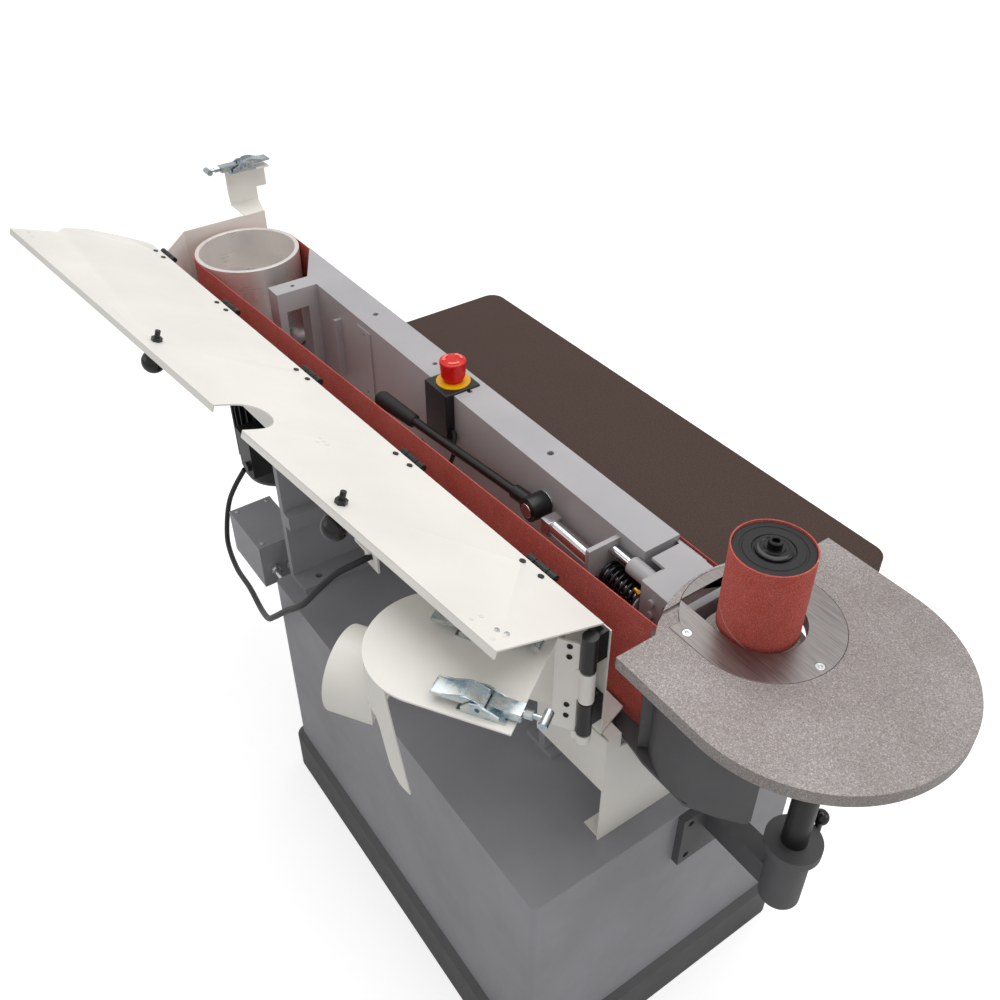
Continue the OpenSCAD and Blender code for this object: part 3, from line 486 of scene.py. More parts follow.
def finish(key):
    """The named finish, made once."""
    if key not in made_finishes:
        made_finishes[key] = FINISHES[key](bpy.context.scene.sander_finish)
    return made_finishes[key]


# Helpers for meshes

def linked(name, data):
    """A new object in the scene."""
    made = bpy.data.objects.new(name, data)
    bpy.context.scene.collection.objects.link(made)
    return made


def evaluated(holder):
    """The holder's mesh after its modifiers, as a plain mesh; the holder is removed."""
    bpy.context.view_layer.update()
    graph = bpy.context.evaluated_depsgraph_get()
    result = bpy.data.meshes.new_from_object(holder.evaluated_get(graph))
    bpy.data.objects.remove(holder)
    return result


def baked(mesh, kind, **settings):
    """The mesh after one modifier, as a new plain mesh."""
    holder = linked("holder", mesh)
    change = holder.modifiers.new("change", kind)
    for key, value in settings.items():
        setattr(change, key, value)
    result = evaluated(holder)
    bpy.data.meshes.remove(mesh)
    return result


def to_mesh(skin, name):
    """The skin as a mesh with its faces turned outwards; the skin is freed."""
    bmesh.ops.recalc_face_normals(skin, faces=skin.faces)
    mesh = bpy.data.meshes.new(name)
    skin.to_mesh(mesh)
    skin.free()
    return mesh


def new_piece(name, mesh, body, keys, replaced, crease=35.0):
    """Links a finished mesh as a piece that rides on a body; its large faces keep their own normals."""
    mesh.polygons.foreach_set("use_smooth", [True] * len(mesh.polygons))
    mesh.set_sharp_from_angle(angle=math.radians(crease))
    mesh = baked(mesh, "WEIGHTED_NORMAL", weight=100, keep_sharp=True)
    mesh.materials.clear()
    for key in keys:
        mesh.materials.append(finish(key))
    piece = linked(name, mesh)
    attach(piece, body)
    if replaced:
        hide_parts(*replaced)
    return piece


def stand_in(name, mesh, node, keys, crease=35.0):
    """A piece in place of one CAD node, on the node's body."""
    return new_piece(name, mesh, BODY_OF[node], keys, [node], crease)


def beside(name, mesh, node, keys):
    """A piece that replaces nothing, on the body of a CAD node."""
    return new_piece(name, mesh, BODY_OF[node], keys, ())


def with_edges(mesh, width, angle=38.0):
    """The same mesh with its sharp edges rounded, as a plain mesh."""
    return baked(mesh, "BEVEL", width=width, segments=2, limit_method="ANGLE",
                 angle_limit=math.radians(angle), use_clamp_overlap=True, miter_outer="MITER_ARC")


def welded(node):
    """A copy of a CAD node's loose triangles, joined into one skin with flat faces merged."""
    mesh = frame["nodes"][node].data.copy()
    skin = bmesh.new()
    skin.from_mesh(mesh)
    bmesh.ops.remove_doubles(skin, verts=skin.verts, dist=0.01 * MM)
    bmesh.ops.dissolve_limit(skin, angle_limit=math.radians(0.6), verts=skin.verts, edges=skin.edges)
    skin.to_mesh(mesh)
    skin.free()
    return mesh


def dressed(node, key, edge):
    """A CAD node's own shape with rounded edges and its finish, in place of the node."""
    mesh = with_edges(welded(node), edge) if edge else welded(node)
    return stand_in(node + "_dressed", mesh, node, [key])


def lathe(profile, centre, steps=96, materials=None):
    """A turned shape about a vertical axis; profile is a closed list of (radius, height) in mm."""
    skin = bmesh.new()
    rings = []
    for radius, height in profile:
        ring = []
        for i in range(steps):
            turn = 2 * math.pi * i / steps
            spot = Vector((radius * math.cos(turn), radius * math.sin(turn), height))
            ring.append(skin.verts.new(centre + spot * MM))
        rings.append(ring)
    for k, ring in enumerate(rings):
        other = rings[(k + 1) % len(rings)]
        for i in range(steps):
            j = (i + 1) % steps
            face = skin.faces.new((ring[i], ring[j], other[j], other[i]))
            face.material_index = materials[k] if materials else 0
    bmesh.ops.remove_doubles(skin, verts=skin.verts, dist=0.002 * MM)
    return to_mesh(skin, "turned")


def tube(points, radius, sides):
    """A round tube along points, closed at its ends, with a frame that doesn't twist."""
    skin = bmesh.new()
    rings = []
    side = None
    for i, point in enumerate(points):
        ahead = (points[min(i + 1, len(points) - 1)] - points[max(i - 1, 0)]).normalized()
        if side is None:
            side = ahead.orthogonal().normalized()
        side = (side - ahead * side.dot(ahead)).normalized()
        up = ahead.cross(side)
        rings.append([skin.verts.new(point + (side * math.cos(2 * math.pi * k / sides)
                                              + up * math.sin(2 * math.pi * k / sides)) * radius)
                      for k in range(sides)])
    for ring, other in zip(rings, rings[1:]):
        for k in range(sides):
            skin.faces.new((ring[k], ring[(k + 1) % sides], other[(k + 1) % sides], other[k]))
    skin.faces.new(list(reversed(rings[0])))
    skin.faces.new(rings[-1])
    return to_mesh(skin, "tube")


def along(points, count):
    """A smooth curve through the points, as count + 1 points."""
    out = []
    last = len(points) - 1
    for i in range(count + 1):
        t = i / count * last
        k = min(int(t), last - 1)
        u = t - k
        a, b, c, d = points[max(k - 1, 0)], points[k], points[k + 1], points[min(k + 2, last)]
        out.append(0.5 * (2 * b + (c - a) * u + (2 * a - 5 * b + 4 * c - d) * u * u
                          + (3 * b - a - 3 * c + d) * u * u * u))
    return out


# Dressing of the CAD nodes: groups of like pieces, each with its rounding in mm
CABINET = {"cabinet": 1.2, "plinth": 1.5, "stands": 0.8, "junction_box": 1.2, "stand_off_bolts": 0.6}
HEAD = {"head_girder": 0.9, "inner_plates": 0.6, "head_pins": 0.6, "platen": 0.6, "platen_pad": 0.0,
        "idler_guard": 1.0}
DRIVE = {"motor_plate": 0.8, "motor_body": 0.4, "fan_cowl": 0.3, "motor_shaft": 0.5, "drive_drum": 0.8}
IDLER = {"idler_carriage": 1.0, "carriage_plates": 0.5, "idler_drum": 0.8, "spindle": 0.6, "lever_hub": 1.2,
         "lever_grip": 1.0, "tension_rod": 0.5, "grease_nipple": 0.3}
TABLES = {"end_table": 1.6, "table_insert": 0.3, "insert_screws": 0.3, "table_column": 0.8,
          "table_sockets": 1.2, "column_lock": 0.4, "post_lock_a": 0.4, "post_lock_b": 0.4,
          "main_table": 2.0, "table_posts": 0.6}
HOOD = {"hood_shell": 0.35, "hood_leg": 0.35, "hood_hinges": 0.4, "hood_flap": 0.35, "flap_leaves": 0.2,
        "end_cover": 0.35, "latch_bases": 0.3, "drum_latch_base": 0.3}
CONTROLS = {"estop_box": 1.5, "estop_ring": 0.4, "start_switch": 1.5, "start_button": 0.6,
            "stop_button": 0.6}
OWN_FINISH = {"drive_drum": "drive_metal", "idler_drum": "idler_metal", "table_insert": "insert_steel",
              "carriage_plates": "head_paint", "idler_carriage": "head_paint"}


def flap_axes():
    """The flap hinge's middle, and the directions along the hinge, across the sheet and out of it."""
    joint = joint_named("flap_swing")
    along_hinge = Vector(joint["axis"]).normalized()
    flat = Vector((-along_hinge.y, along_hinge.x, 0)).normalized()
    lift = math.radians(FLAP_LIFT)
    across = flat * math.cos(lift) + Vector((0, 0, 1)) * math.sin(lift)
    up = along_hinge.cross(across).normalized()
    return Vector(joint["pos_m"]), along_hinge, across, up if up.z > 0 else -up


def dress(group):
    """Finishes each CAD node of a group with its rounding."""
    for node, edge in group.items():
        dressed(node, OWN_FINISH.get(node, SLOT_OF[node]), edge * MM)
    return {"FINISHED"}


class SANDER_OT_cabinet(bpy.types.Operator):
    """Finishes the cabinet, plinth, stands and junction box"""

    bl_idname = "sander.cabinet"
    bl_label = "Cabinet"

    def execute(self, context):
        return dress(CABINET)


class SANDER_OT_head(bpy.types.Operator):
    """Finishes the head girder, its plates, the platen and the guard"""

    bl_idname = "sander.head"
    bl_label = "Head"

    def execute(self, context):
        return dress(HEAD)


class SANDER_OT_drive(bpy.types.Operator):
    """Finishes the motor and the drum that it turns"""

    bl_idname = "sander.drive"
    bl_label = "Motor and drive drum"

    def execute(self, context):
        return dress(DRIVE)


class SANDER_OT_idler(bpy.types.Operator):
    """Finishes the sliding carriage, the idler drum and the lever"""

    bl_idname = "sander.idler"
    bl_label = "Idler and tension lever"

    def execute(self, context):
        return dress(IDLER)


class SANDER_OT_tables(bpy.types.Operator):
    """Finishes both tables, their posts and their locks"""

    bl_idname = "sander.tables"
    bl_label = "Tables"

    def execute(self, context):
        return dress(TABLES)


class SANDER_OT_hood(bpy.types.Operator):
    """Finishes the hood, flap, end cover and latch plates"""

    bl_idname = "sander.hood"
    bl_label = "Hood and covers"

    def execute(self, context):
        return dress(HOOD)


class SANDER_OT_controls(bpy.types.Operator):
    """Finishes the stop button, its box and the start switch"""

    bl_idname = "sander.controls"
    bl_label = "Switches"

    def execute(self, context):
        return dress(CONTROLS)


class SANDER_OT_flap_knobs(bpy.types.Operator):
    """Finishes the two ball knobs under the flap; what stands above the sheet is the bright bolt"""

    bl_idname = "sander.flap_knobs"
    bl_label = "Flap knobs"

    def execute(self, context):
        origin, _, _, up = flap_axes()
        for node in ("flap_knob_a", "flap_knob_b"):
            mesh = with_edges(welded(node), 0.5 * MM)
            above = [int((face.center - origin).dot(up) > 0.5 * MM) for face in mesh.polygons]
            if not 0 < sum(above) < len(above):
                raise RuntimeError(node + ": the bolt wasn't told from the knob")
            mesh.polygons.foreach_set("material_index", above)
            stand_in(node + "_dressed", mesh, node, ["black_gloss", "chrome"])
        return {"FINISHED"}


# The belt, the bobbin and the cables

def ring_of(outline, heights, keys):
    """A closed band along an outline; heights lists (offset, height) corners, keys a material per side."""
    skin = bmesh.new()
    along_map = skin.loops.layers.uv.new("along")
    count = len(outline)
    travelled = [0.0]
    for a, b in zip(outline, outline[1:] + outline[:1]):
        travelled.append(travelled[-1] + (b - a).length)
    rings = []
    for i, point in enumerate(outline):
        ahead = (outline[(i + 1) % count] - outline[i - 1]).normalized()
        out = Vector((ahead.y, -ahead.x, 0))
        rings.append([skin.verts.new(point + out * offset * MM + Vector((0, 0, height * MM)))
                      for offset, height in heights])
    for i in range(count):
        near, far = rings[i], rings[(i + 1) % count]
        for k in range(len(heights)):
            n = (k + 1) % len(heights)
            face = skin.faces.new((near[k], far[k], far[n], near[n]))
            face.material_index = keys[k]
            spots = ((travelled[i], heights[k][1]), (travelled[i + 1], heights[k][1]),
                     (travelled[i + 1], heights[n][1]), (travelled[i], heights[n][1]))
            for corner, (u, v) in zip(face.loops, spots):
                corner[along_map].uv = (u, v * MM)
    return to_mesh(skin, "band")


def belt_line(clearance, steps=96, links=40):
    """The line of the belt round both drums, counter-clockwise, in metres at end table height."""
    small, large = ((high.y - low.y) / 2 + clearance * MM
                    for low, high in (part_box("idler_drum"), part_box("drive_drum")))
    reach = DRUM - ORIGIN
    lean = math.atan2(reach.y, reach.x)
    start = lean + math.pi / 2 + math.asin((large - small) / reach.length)
    points = []
    for i in range(steps + 1):
        turn = start + (1.5 * math.pi - start) * i / steps
        points.append(ORIGIN + Vector((math.cos(turn), math.sin(turn), 0)) * small)
    for k in range(1, links):
        points.append(points[steps].lerp(DRUM + Vector((0, -large, 0)), k / links))
    for i in range(steps + 1):
        turn = -math.pi / 2 + (start + math.pi / 2) * i / steps
        points.append(DRUM + Vector((math.cos(turn), math.sin(turn), 0)) * large)
    last, first = points[-1], points[0]
    return points + [last.lerp(first, k / links) for k in range(1, links)]


class SANDER_OT_belt(bpy.types.Operator):
    """Makes the sanding belt: grit outside, cloth inside, pale cut edges"""

    bl_idname = "sander.belt"
    bl_label = "Sanding belt"

    def execute(self, context):
        low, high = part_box("sanding_belt")
        bottom = (low.z - ORIGIN.z) / MM
        top = (high.z - ORIGIN.z) / MM
        # 0.75 mm of cloth carries 0.45 mm of grit, and the belt runs 0.3 mm off the drums.
        corners = [(0, bottom), (0.75, bottom), (1.2, bottom + 0.25), (1.2, top - 0.25), (0.75, top), (0, top)]
        mesh = ring_of(belt_line(0.3), corners, [1, 1, 0, 1, 1, 1])
        stand_in("belt", mesh, "sanding_belt", ["belt_grit", "cloth"])
        return {"FINISHED"}


class SANDER_OT_bobbin(bpy.types.Operator):
    """Makes the bobbin: rubber core, grit sleeve, washer and clamp screw"""

    bl_idname = "sander.bobbin"
    bl_label = "Bobbin"

    def execute(self, context):
        low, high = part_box("bobbin_sleeve")
        radius = (high.x - low.x) / 2 / MM
        bottom = (low.z - ORIGIN.z) / MM
        top = (high.z - ORIGIN.z) / MM
        # The sleeve is 1.4 mm thick; the core's face lies 2 mm below the sleeve's top.
        inner = radius - 1.4
        sleeve = lathe([(inner, bottom), (radius - 0.3, bottom), (radius, bottom + 0.3), (radius, top - 0.3),
                        (radius - 0.35, top), (inner, top)], ORIGIN, 144, [1, 0, 0, 0, 1, 1])
        stand_in("bobbin_grit_sleeve", sleeve, "bobbin_sleeve", ["bobbin_grit", "cloth"])
        face = top - 2
        core = lathe([(10.05, bottom), (inner, bottom), (inner, face - 0.8), (inner - 0.8, face), (30, face),
                      (29.4, face - 0.7), (27.6, face - 0.7), (27, face), (19.5, face), (18.8, face - 1.1),
                      (10.05, face - 1.1)], ORIGIN, 144)
        stand_in("bobbin_rubber", core, "bobbin_core", ["rubber_black"])
        washer = lathe([(4.2, face), (17, face), (17, face + 1.2), (16.2, face + 2.0), (14.8, face + 2.6),
                        (12.6, face + 2.6), (12.0, face + 1.9), (9.6, face + 1.9), (9.0, face + 3.0),
                        (4.2, face + 3.0)], ORIGIN, 96)
        stand_in("bobbin_clamp_washer", washer, "bobbin_washer", ["black_gloss"])
        seat = face + 3.0
        screw = lathe([(0, seat), (6.5, seat), (6.5, seat + 6.2), (5.7, seat + 7.0), (4.2, seat + 7.0),
                       (3.4, seat + 6.4), (3.4, seat + 3.0), (0, seat + 2.6)], ORIGIN, 48)
        beside("bobbin_clamp_screw", screw, "bobbin_washer", ["bolt_black"])
        return {"FINISHED"}


# The cables' routes in mm from the head's origin, and their radii
CONDUIT_RADIUS = 4.4
STOP_CABLE_RADIUS = 3.0
CONDUIT = ((1004, 116, -404), (1016, 134, -440), (1030, 146, -480), (1030, 158, -525), (1000, 172, -546),
           (930, 186, -542), (846, 196, -518), (764, 210, -492), (694, 224, -446), (640, 233, -394),
           (590, 231, -342), (545, 223, -298), (520, 206, -258), (508, 184, -234), (498, 162, -222),
           (494, 144, -217), (494, 132, -217))
STOP_CABLE = ((506.6, 2, -84), (500, 3.5, -87), (494, 9, -96), (492, 12, -110), (498, 15, -128),
              (510, 20, -146), (520, 28, -162), (527, 39, -178), (528, 44, -194))


class SANDER_OT_cables(bpy.types.Operator):
    """Makes the motor's cable and the stop button's cable"""

    bl_idname = "sander.cables"
    bl_label = "Cables"

    def execute(self, context):
        self.cable("motor_cable", CONDUIT, CONDUIT_RADIUS, "conduit", 240, "black_plastic")
        self.cable("stop_cable", STOP_CABLE, STOP_CABLE_RADIUS, "estop_cable", 90, "rubber_black")
        return {"FINISHED"}

    def cable(self, name, route, radius, node, steps, key):
        line = along([head(*point) for point in route], steps)
        piece = stand_in(name, tube(line, radius * MM, 20), node, [key], 60)


class SANDER_OT_spring(bpy.types.Operator):
    """Makes the tension spring as one smooth wound wire"""

    bl_idname = "sander.spring"
    bl_label = "Tension spring"

    def execute(self, context):
        coils, per_turn = 8, 40
        # In mm: the radius of the wire and of its coils, and where the wire's middle begins and ends.
        wire, reach = 2.1, 15
        first, last = 130.15, 187.85
        line = []
        for i in range(coils * per_turn + 1):
            turn = 2 * math.pi * i / per_turn
            line.append(head(first + (last - first) * i / (coils * per_turn), 16 + reach * math.cos(turn),
                             -78 + reach * math.sin(turn)))
        piece = stand_in("wound_spring", tube(line, wire * MM, 14), "tension_spring", ["bolt_black"], 60)
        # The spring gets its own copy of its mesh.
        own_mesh(piece)
        return {"FINISHED"}


# Latches and the stop button

def station_skin(stations, put):
    """A skin through equal cross sections; put turns a section's (x, y, z) in mm into a world point."""
    skin = bmesh.new()
    rings = [[skin.verts.new(put(*corner)) for corner in section] for section in stations]
    count = len(stations[0])
    for near, far in zip(rings, rings[1:]):
        for k in range(count):
            skin.faces.new((near[k], near[(k + 1) % count], far[(k + 1) % count], far[k]))
    skin.faces.new(rings[0])
    skin.faces.new(list(reversed(rings[-1])))
    return to_mesh(skin, "stations")


def from_corner(corner, turn):
    """Places (x, y, z) in mm from a world corner, turned about Z by an angle in degrees."""
    spin = Matrix.Rotation(math.radians(turn), 3, "Z")
    return lambda x, y, z: corner + spin @ (Vector((x, y, z)) * MM)


def cover_frame():
    """Places (x, y, z) in mm from the end cover's hinge at end table height, along the cover's own sides."""
    pivot = Vector(joint_named("cover_swing")["pos_m"])
    return from_corner(Vector((pivot.x, pivot.y, ORIGIN.z)), COVER_TURN)


# Each station of a latch handle: its place along the handle, the floor's underside and the flange's top, in mm
HANDLE = ((120, 9.4, 11.2), (118, 8.4, 11.4), (110, 8.0, 11.6), (104, 8.0, 12.4), (98, 8.0, 14.6),
          (92, 8.0, 16.6), (86, 8.0, 17.2), (80, 7.6, 16.4), (76, 6.4, 14.4), (70.5, 5.0, 11.8))
# Half the handle's width, and the steel of its flanges and floor, in mm
HANDLE_HALF = 10.4
HANDLE_FLANGE = 1.4
HANDLE_FLOOR = 1.5


class SANDER_OT_latches(bpy.types.Operator):
    """Makes the pressed handles of the three toggle latches"""

    bl_idname = "sander.latches"
    bl_label = "Latch handles"

    def execute(self, context):
        cover = cover_frame()
        self.handle("latch_handle_a", lambda x, y, z: cover(x - 9, y + 102, z - 33))
        self.handle("latch_handle_b", lambda x, y, z: cover(x + 27, y + 22, z - 33))
        self.handle("drum_latch_handle", from_corner(head(1192, 38, 35), -90))
        return {"FINISHED"}

    def handle(self, node, put):
        outer, inner = HANDLE_HALF, HANDLE_HALF - HANDLE_FLANGE
        stations = [[(x, -outer, floor), (x, -outer, top), (x, -inner, top), (x, -inner, floor + HANDLE_FLOOR),
                     (x, inner, floor + HANDLE_FLOOR), (x, inner, top), (x, outer, top), (x, outer, floor)]
                    for x, floor, top in HANDLE]
        mesh = with_edges(station_skin(stations, put), 0.35 * MM, 50)
        stand_in(node + "_pressed", mesh, node, ["zinc"], 42)


class SANDER_OT_stop_button(bpy.types.Operator):
    """Makes the straight-sided stop button with its three raised turning arrows"""

    bl_idname = "sander.stop_button"
    bl_label = "Stop button"

    def execute(self, context):
        low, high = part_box("estop_button")
        centre = Vector(((low.x + high.x) / 2, (low.y + high.y) / 2, high.z))
        foot = Vector((centre.x, centre.y, ORIGIN.z))
        neck = (low.z - ORIGIN.z) / MM
        # The skirt ends 0.3 mm above the ring when the button is pressed to its limit.
        drum = lathe([(0, neck), (12, neck), (12, -21.5), (15.2, -21.5), (15.6, -21), (16.8, -4), (17.2, -1),
                      (16.7, 0.7), (15.2, 1.6), (8, 2.4), (0, 3)], foot, 72)
        stand_in("stop_button_drum", drum, "estop_button", ["red_plastic"])
        beside("stop_button_arrows", self.arrows(centre), "estop_button", ["red_mark"])
        return {"FINISHED"}

    def arrows(self, centre):
        """Three curved arrows, each a strip of 60 degrees with a pointed head."""
        skin = bmesh.new()

        def spot(turn, reach, drop):
            way = Vector((math.cos(math.radians(turn)), math.sin(math.radians(turn)), 0))
            return skin.verts.new(centre + way * reach * MM + Vector((0, 0, -drop * MM)))

        for start in (0, 120, 240):
            rows = [(spot(start + 5 * i, 9.8, 0.7), spot(start + 5 * i, 13.0, 0.9)) for i in range(13)]
            for (a, b), (c, d) in zip(rows, rows[1:]):
                skin.faces.new((a, b, d, c))
            skin.faces.new((spot(start + 60, 7.8, 0.6), spot(start + 60, 15.0, 1.0),
                            spot(start + 76, 11.4, 0.8)))
        grown = bmesh.ops.extrude_face_region(skin, geom=list(skin.faces))
        lifted = [v for v in grown["geom"] if isinstance(v, bmesh.types.BMVert)]
        bmesh.ops.translate(skin, verts=lifted, vec=Vector((0, 0, 0.9 * MM)))
        return to_mesh(skin, "arrows")


# Fasteners that repeat

def screw_profile(radius, height, drive):
    """A round or cheese head with a socket, standing on its own origin."""
    rounded = [(0, 0), (radius, 0), (radius, height * 0.55), (radius * 0.9, height * 0.86),
               (radius * 0.72, height), (drive, height), (drive, height * 0.35), (0, height * 0.3)]
    return lathe(rounded, Vector((0, 0, 0)), 20)


def scatter_tree(name):
    """A node tree that puts one shape on each point, facing along each point's own direction."""
    tree = bpy.data.node_groups.new(name, "GeometryNodeTree")
    face = tree.interface
    face.new_socket("Points", in_out="INPUT", socket_type="NodeSocketGeometry")
    face.new_socket("Shape", in_out="INPUT", socket_type="NodeSocketObject")
    face.new_socket("Size", in_out="INPUT", socket_type="NodeSocketFloat").default_value = 1.0
    face.new_socket("Seed", in_out="INPUT", socket_type="NodeSocketInt").default_value = 7
    face.new_socket("Finish", in_out="INPUT", socket_type="NodeSocketMaterial")
    face.new_socket("Fasteners", in_out="OUTPUT", socket_type="NodeSocketGeometry")
    given = add(tree, "NodeGroupInput")
    facing = add(tree, "GeometryNodeInputNamedAttribute", {"Name": "facing"}, data_type="FLOAT_VECTOR")
    info = add(tree, "GeometryNodeObjectInfo", {"Object": given.outputs["Shape"], "As Instance": True})
    spin = add(tree, "FunctionNodeRandomValue", {"Seed": given.outputs["Seed"]}, data_type="FLOAT")
    for socket in spin.inputs:
        if socket.type == "VALUE" and socket.name == "Max":
            socket.default_value = 2 * math.pi
    turned = add(tree, "ShaderNodeCombineXYZ", {2: spin.outputs[1]})
    upright = add(tree, "FunctionNodeAlignEulerToVector", {"Rotation": turned.outputs[0],
                                                           "Vector": facing.outputs["Attribute"]}, axis="Z")
    put = add(tree, "GeometryNodeInstanceOnPoints", {
        "Points": given.outputs["Points"], "Instance": info.outputs["Geometry"], "Rotation": upright.outputs[0],
        "Scale": given.outputs["Size"]})
    real = add(tree, "GeometryNodeRealizeInstances", {"Geometry": put.outputs[0]})
    finished = add(tree, "GeometryNodeSetMaterial", {"Geometry": real.outputs[0],
                                                     "Material": given.outputs["Finish"]})
    add(tree, "NodeGroupOutput", {"Fasteners": finished.outputs[0]})
    return tree


def fasteners(name, node, spots, radius, height, drive, key):
    """Screws or rivets at (point, direction) spots on a CAD node, as one plain mesh; sizes are in mm."""
    shape = bpy.data.objects.new(name + "_shape", screw_profile(radius, height, drive))
    points = bpy.data.meshes.new(name)
    points.from_pydata([tuple(where) for where, _ in spots], [], [])
    facing = points.attributes.new("facing", "FLOAT_VECTOR", "POINT")
    for i, (_, way) in enumerate(spots):
        facing.data[i].vector = way
    holder = linked("holder", points)
    tree = bpy.data.node_groups.get("fastener_rows") or scatter_tree("fastener_rows")
    change = holder.modifiers.new("rows", "NODES")
    change.node_group = tree
    values = {"Shape": shape, "Size": 1.0, "Seed": 7, "Finish": finish(key)}
    for socket in tree.interface.items_tree:
        if socket.name in values:
            change[socket.identifier] = values[socket.name]
    mesh = evaluated(holder)
    bpy.data.objects.remove(shape)
    if len(mesh.polygons) == 0:
        raise RuntimeError(name + ": the node tree made no fasteners")
    return beside(name, mesh, node, [key])


# Rivets of the flap in mm along its hinge and across it, and the pair at its corner from the head's origin
FLAP_RIVETS = ((8, 120), (8, 132), (-22, 118), (-22, 132), (330, 86), (338, 86), (346, 86), (338, 94),
               (988, 186), (1006, 186))
CORNER_RIVETS = ((106.8, 215.0, 21.7), (99.4, 209.6, 19.9))
# Heights of the four screws in the cover's leaf, and the lid screws' distance from the box's sides, in mm
LEAF_SCREWS = (-39, -53, -121, -137)
LID_INSET = 9


class SANDER_OT_fasteners(bpy.types.Operator):
    """Sets the screws and rivets that the photograph shows"""

    bl_idname = "sander.fasteners"
    bl_label = "Screws and rivets"

    def execute(self, context):
        origin, along_hinge, across, up = flap_axes()
        rivets = [(origin + along_hinge * s * MM + across * w * MM + up * 1.0 * MM, up) for s, w in FLAP_RIVETS]
        fasteners("flap_rivets", "hood_flap", rivets, 2.1, 0.9, 0.4, "hood_cream")
        corner = [(head(*where) + up * 0.2 * MM, up) for where in CORNER_RIVETS]
        fasteners("flap_corner_rivets", "hood_flap", corner, 2.6, 1.2, 0.4, "chrome")
        leaf = cover_frame()
        outward = (leaf(0, 1, 0) - leaf(0, 0, 0)).normalized()
        screws = [(leaf(18.5, 1.9, z), outward) for z in LEAF_SCREWS]
        fasteners("cover_leaf_screws", "end_cover", screws, 3.0, 1.7, 1.2, "bolt_black")
        low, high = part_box("junction_box")
        lid = [(Vector((x, y, high.z)), Vector((0, 0, 1)))
               for x in (low.x + LID_INSET * MM, high.x - LID_INSET * MM)
               for y in (low.y + LID_INSET * MM, high.y - LID_INSET * MM)]
        fasteners("box_lid_screws", "junction_box", lid, 3.2, 1.6, 1.4, "zinc")
        return {"FINISHED"}


# Studio

def look_from(yaw, pitch, roll):
    """A camera's axes for a view that looks along yaw and down by pitch, in degrees."""
    a, b, c = (math.radians(v) for v in (yaw, pitch, roll))
    ahead = Vector((math.cos(a) * math.cos(b), math.sin(a) * math.cos(b), -math.sin(b)))
    right = Vector((math.sin(a), -math.cos(a), 0))
    up = right.cross(ahead)
    return (math.cos(c) * right + math.sin(c) * up, -math.sin(c) * right + math.cos(c) * up, -ahead)


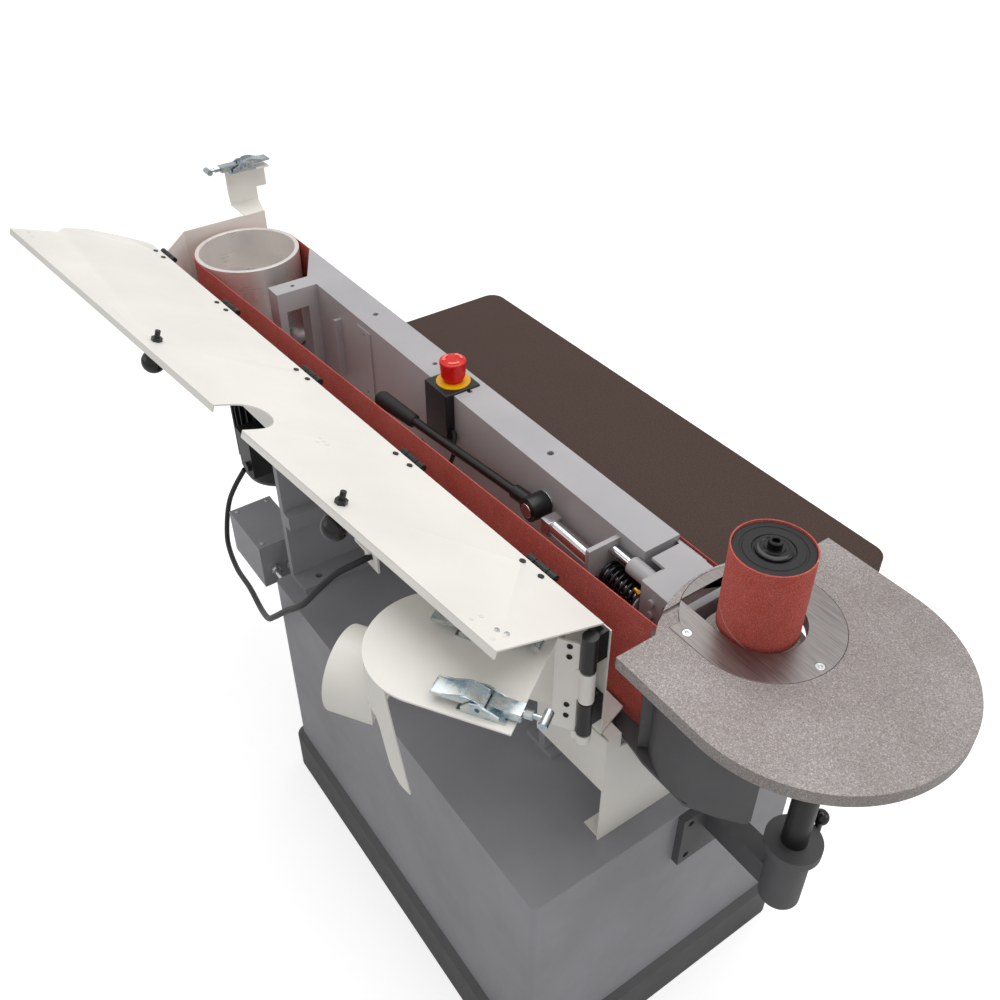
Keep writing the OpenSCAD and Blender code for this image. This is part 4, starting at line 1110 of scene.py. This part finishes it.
class SANDER_OT_stage(bpy.types.Operator):
    """Makes the camera, the floor, the lamps and the world"""

    bl_idname = "sander.stage"
    bl_label = "Studio"

    def execute(self, context):
        scene = context.scene
        data = bpy.data.cameras.new("view")
        data.lens = scene.sander_sizes.camera_lens
        data.sensor_width = 36
        data.shift_x, data.shift_y = VIEW_SHIFT
        data.clip_end = 60
        camera = linked("view", data)
        right, up, back = look_from(*VIEW_TURN)
        place_at = head(*VIEW_FROM)
        camera.matrix_world = Matrix(((right.x, up.x, back.x, place_at.x), (right.y, up.y, back.y, place_at.y),
                                      (right.z, up.z, back.z, place_at.z), (0, 0, 0, 1)))
        scene.camera = camera
        self.floor()
        for lamp in LAMPS:
            self.lamp(*lamp)
        world = bpy.data.worlds.new("studio")
        tree = bare_tree(world)
        path = add(tree, "ShaderNodeLightPath").outputs
        clear = calc(tree, "MAXIMUM", path["Is Camera Ray"], path["Is Transmission Ray"])
        strength = add(tree, "ShaderNodeMapRange", {"Value": clear, "To Min": WORLD_GLOW, "To Max": 1.0})
        glow = add(tree, "ShaderNodeBackground", {"Color": (1, 1, 1, 1), "Strength": strength.outputs[0]})
        add(tree, "ShaderNodeOutputWorld", {"Surface": glow.outputs[0]})
        scene.world = world
        scene.view_settings.view_transform = "Standard"
        return {"FINISHED"}

    def floor(self):
        """A pale floor that the camera sees brighter than it lights the object."""
        mesh = bpy.data.meshes.new("floor")
        corners = [(x * FLOOR_REACH, y * FLOOR_REACH, 0) for x, y in ((-1, -1), (1, -1), (1, 1), (-1, 1))]
        mesh.from_pydata(corners, [], [(0, 1, 2, 3)])
        ground = linked("floor", mesh)
        made = bpy.data.materials.new("pale_floor")
        tree = bare_tree(made)
        path = add(tree, "ShaderNodeLightPath")
        matt = add(tree, "ShaderNodeBsdfDiffuse", {"Color": linear("#d8d8d8")})
        glow = add(tree, "ShaderNodeEmission", {"Color": (1, 1, 1, 1), "Strength": FLOOR_GLOW})
        lifted = add(tree, "ShaderNodeAddShader", {0: matt.outputs[0], 1: glow.outputs[0]})
        seen = add(tree, "ShaderNodeMixShader", {0: path.outputs["Is Camera Ray"], 1: matt.outputs[0],
                                                 2: lifted.outputs[0]})
        add(tree, "ShaderNodeOutputMaterial", {"Surface": seen.outputs[0]})
        mesh.materials.append(made)

    def lamp(self, name, where, towards, wide, deep, power):
        data = bpy.data.lights.new(name, "AREA")
        data.shape = "RECTANGLE"
        data.size = wide
        data.size_y = deep
        data.energy = power
        made = linked(name, data)
        made.location = where
        made.rotation_euler = (Vector(towards) - Vector(where)).to_track_quat("-Z", "Y").to_euler()


class SANDER_PT_panel(bpy.types.Panel):
    """Lists the steps and their sizes and colours"""

    bl_label = "Sander"
    bl_idname = "SANDER_PT_panel"
    bl_space_type = "VIEW_3D"
    bl_region_type = "UI"
    bl_category = "Sander"

    def draw(self, context):
        for group in (context.scene.sander_finish, context.scene.sander_sizes):
            for name in group.__annotations__:
                self.layout.prop(group, name)
        for step in STEPS:
            self.layout.operator(step.bl_idname)


STEPS = (SANDER_OT_stage, SANDER_OT_cables, SANDER_OT_cabinet, SANDER_OT_head, SANDER_OT_drive, SANDER_OT_idler,
         SANDER_OT_tables, SANDER_OT_hood, SANDER_OT_controls, SANDER_OT_flap_knobs, SANDER_OT_belt,
         SANDER_OT_bobbin, SANDER_OT_spring, SANDER_OT_latches, SANDER_OT_stop_button, SANDER_OT_fasteners)
CLASSES = (SanderFinish, SanderSizes, SANDER_PT_panel) + STEPS


def register():
    for kind in CLASSES:
        bpy.utils.register_class(kind)
    bpy.types.Scene.sander_finish = bpy.props.PointerProperty(type=SanderFinish)
    bpy.types.Scene.sander_sizes = bpy.props.PointerProperty(type=SanderSizes)


def unregister():
    del bpy.types.Scene.sander_finish
    del bpy.types.Scene.sander_sizes
    for kind in reversed(CLASSES):
        bpy.utils.unregister_class(kind)


def main():
    register()
    bpy.ops.sander.stage()
    bpy.ops.sander.cables()
    bpy.ops.sander.cabinet()
    bpy.ops.sander.head()
    bpy.ops.sander.drive()
    bpy.ops.sander.idler()
    bpy.ops.sander.tables()
    bpy.ops.sander.hood()
    bpy.ops.sander.controls()
    bpy.ops.sander.flap_knobs()
    bpy.ops.sander.belt()
    bpy.ops.sander.bobbin()
    bpy.ops.sander.spring()
    bpy.ops.sander.latches()
    bpy.ops.sander.stop_button()
    bpy.ops.sander.fasteners()


if __name__ == "__main__":
    main()
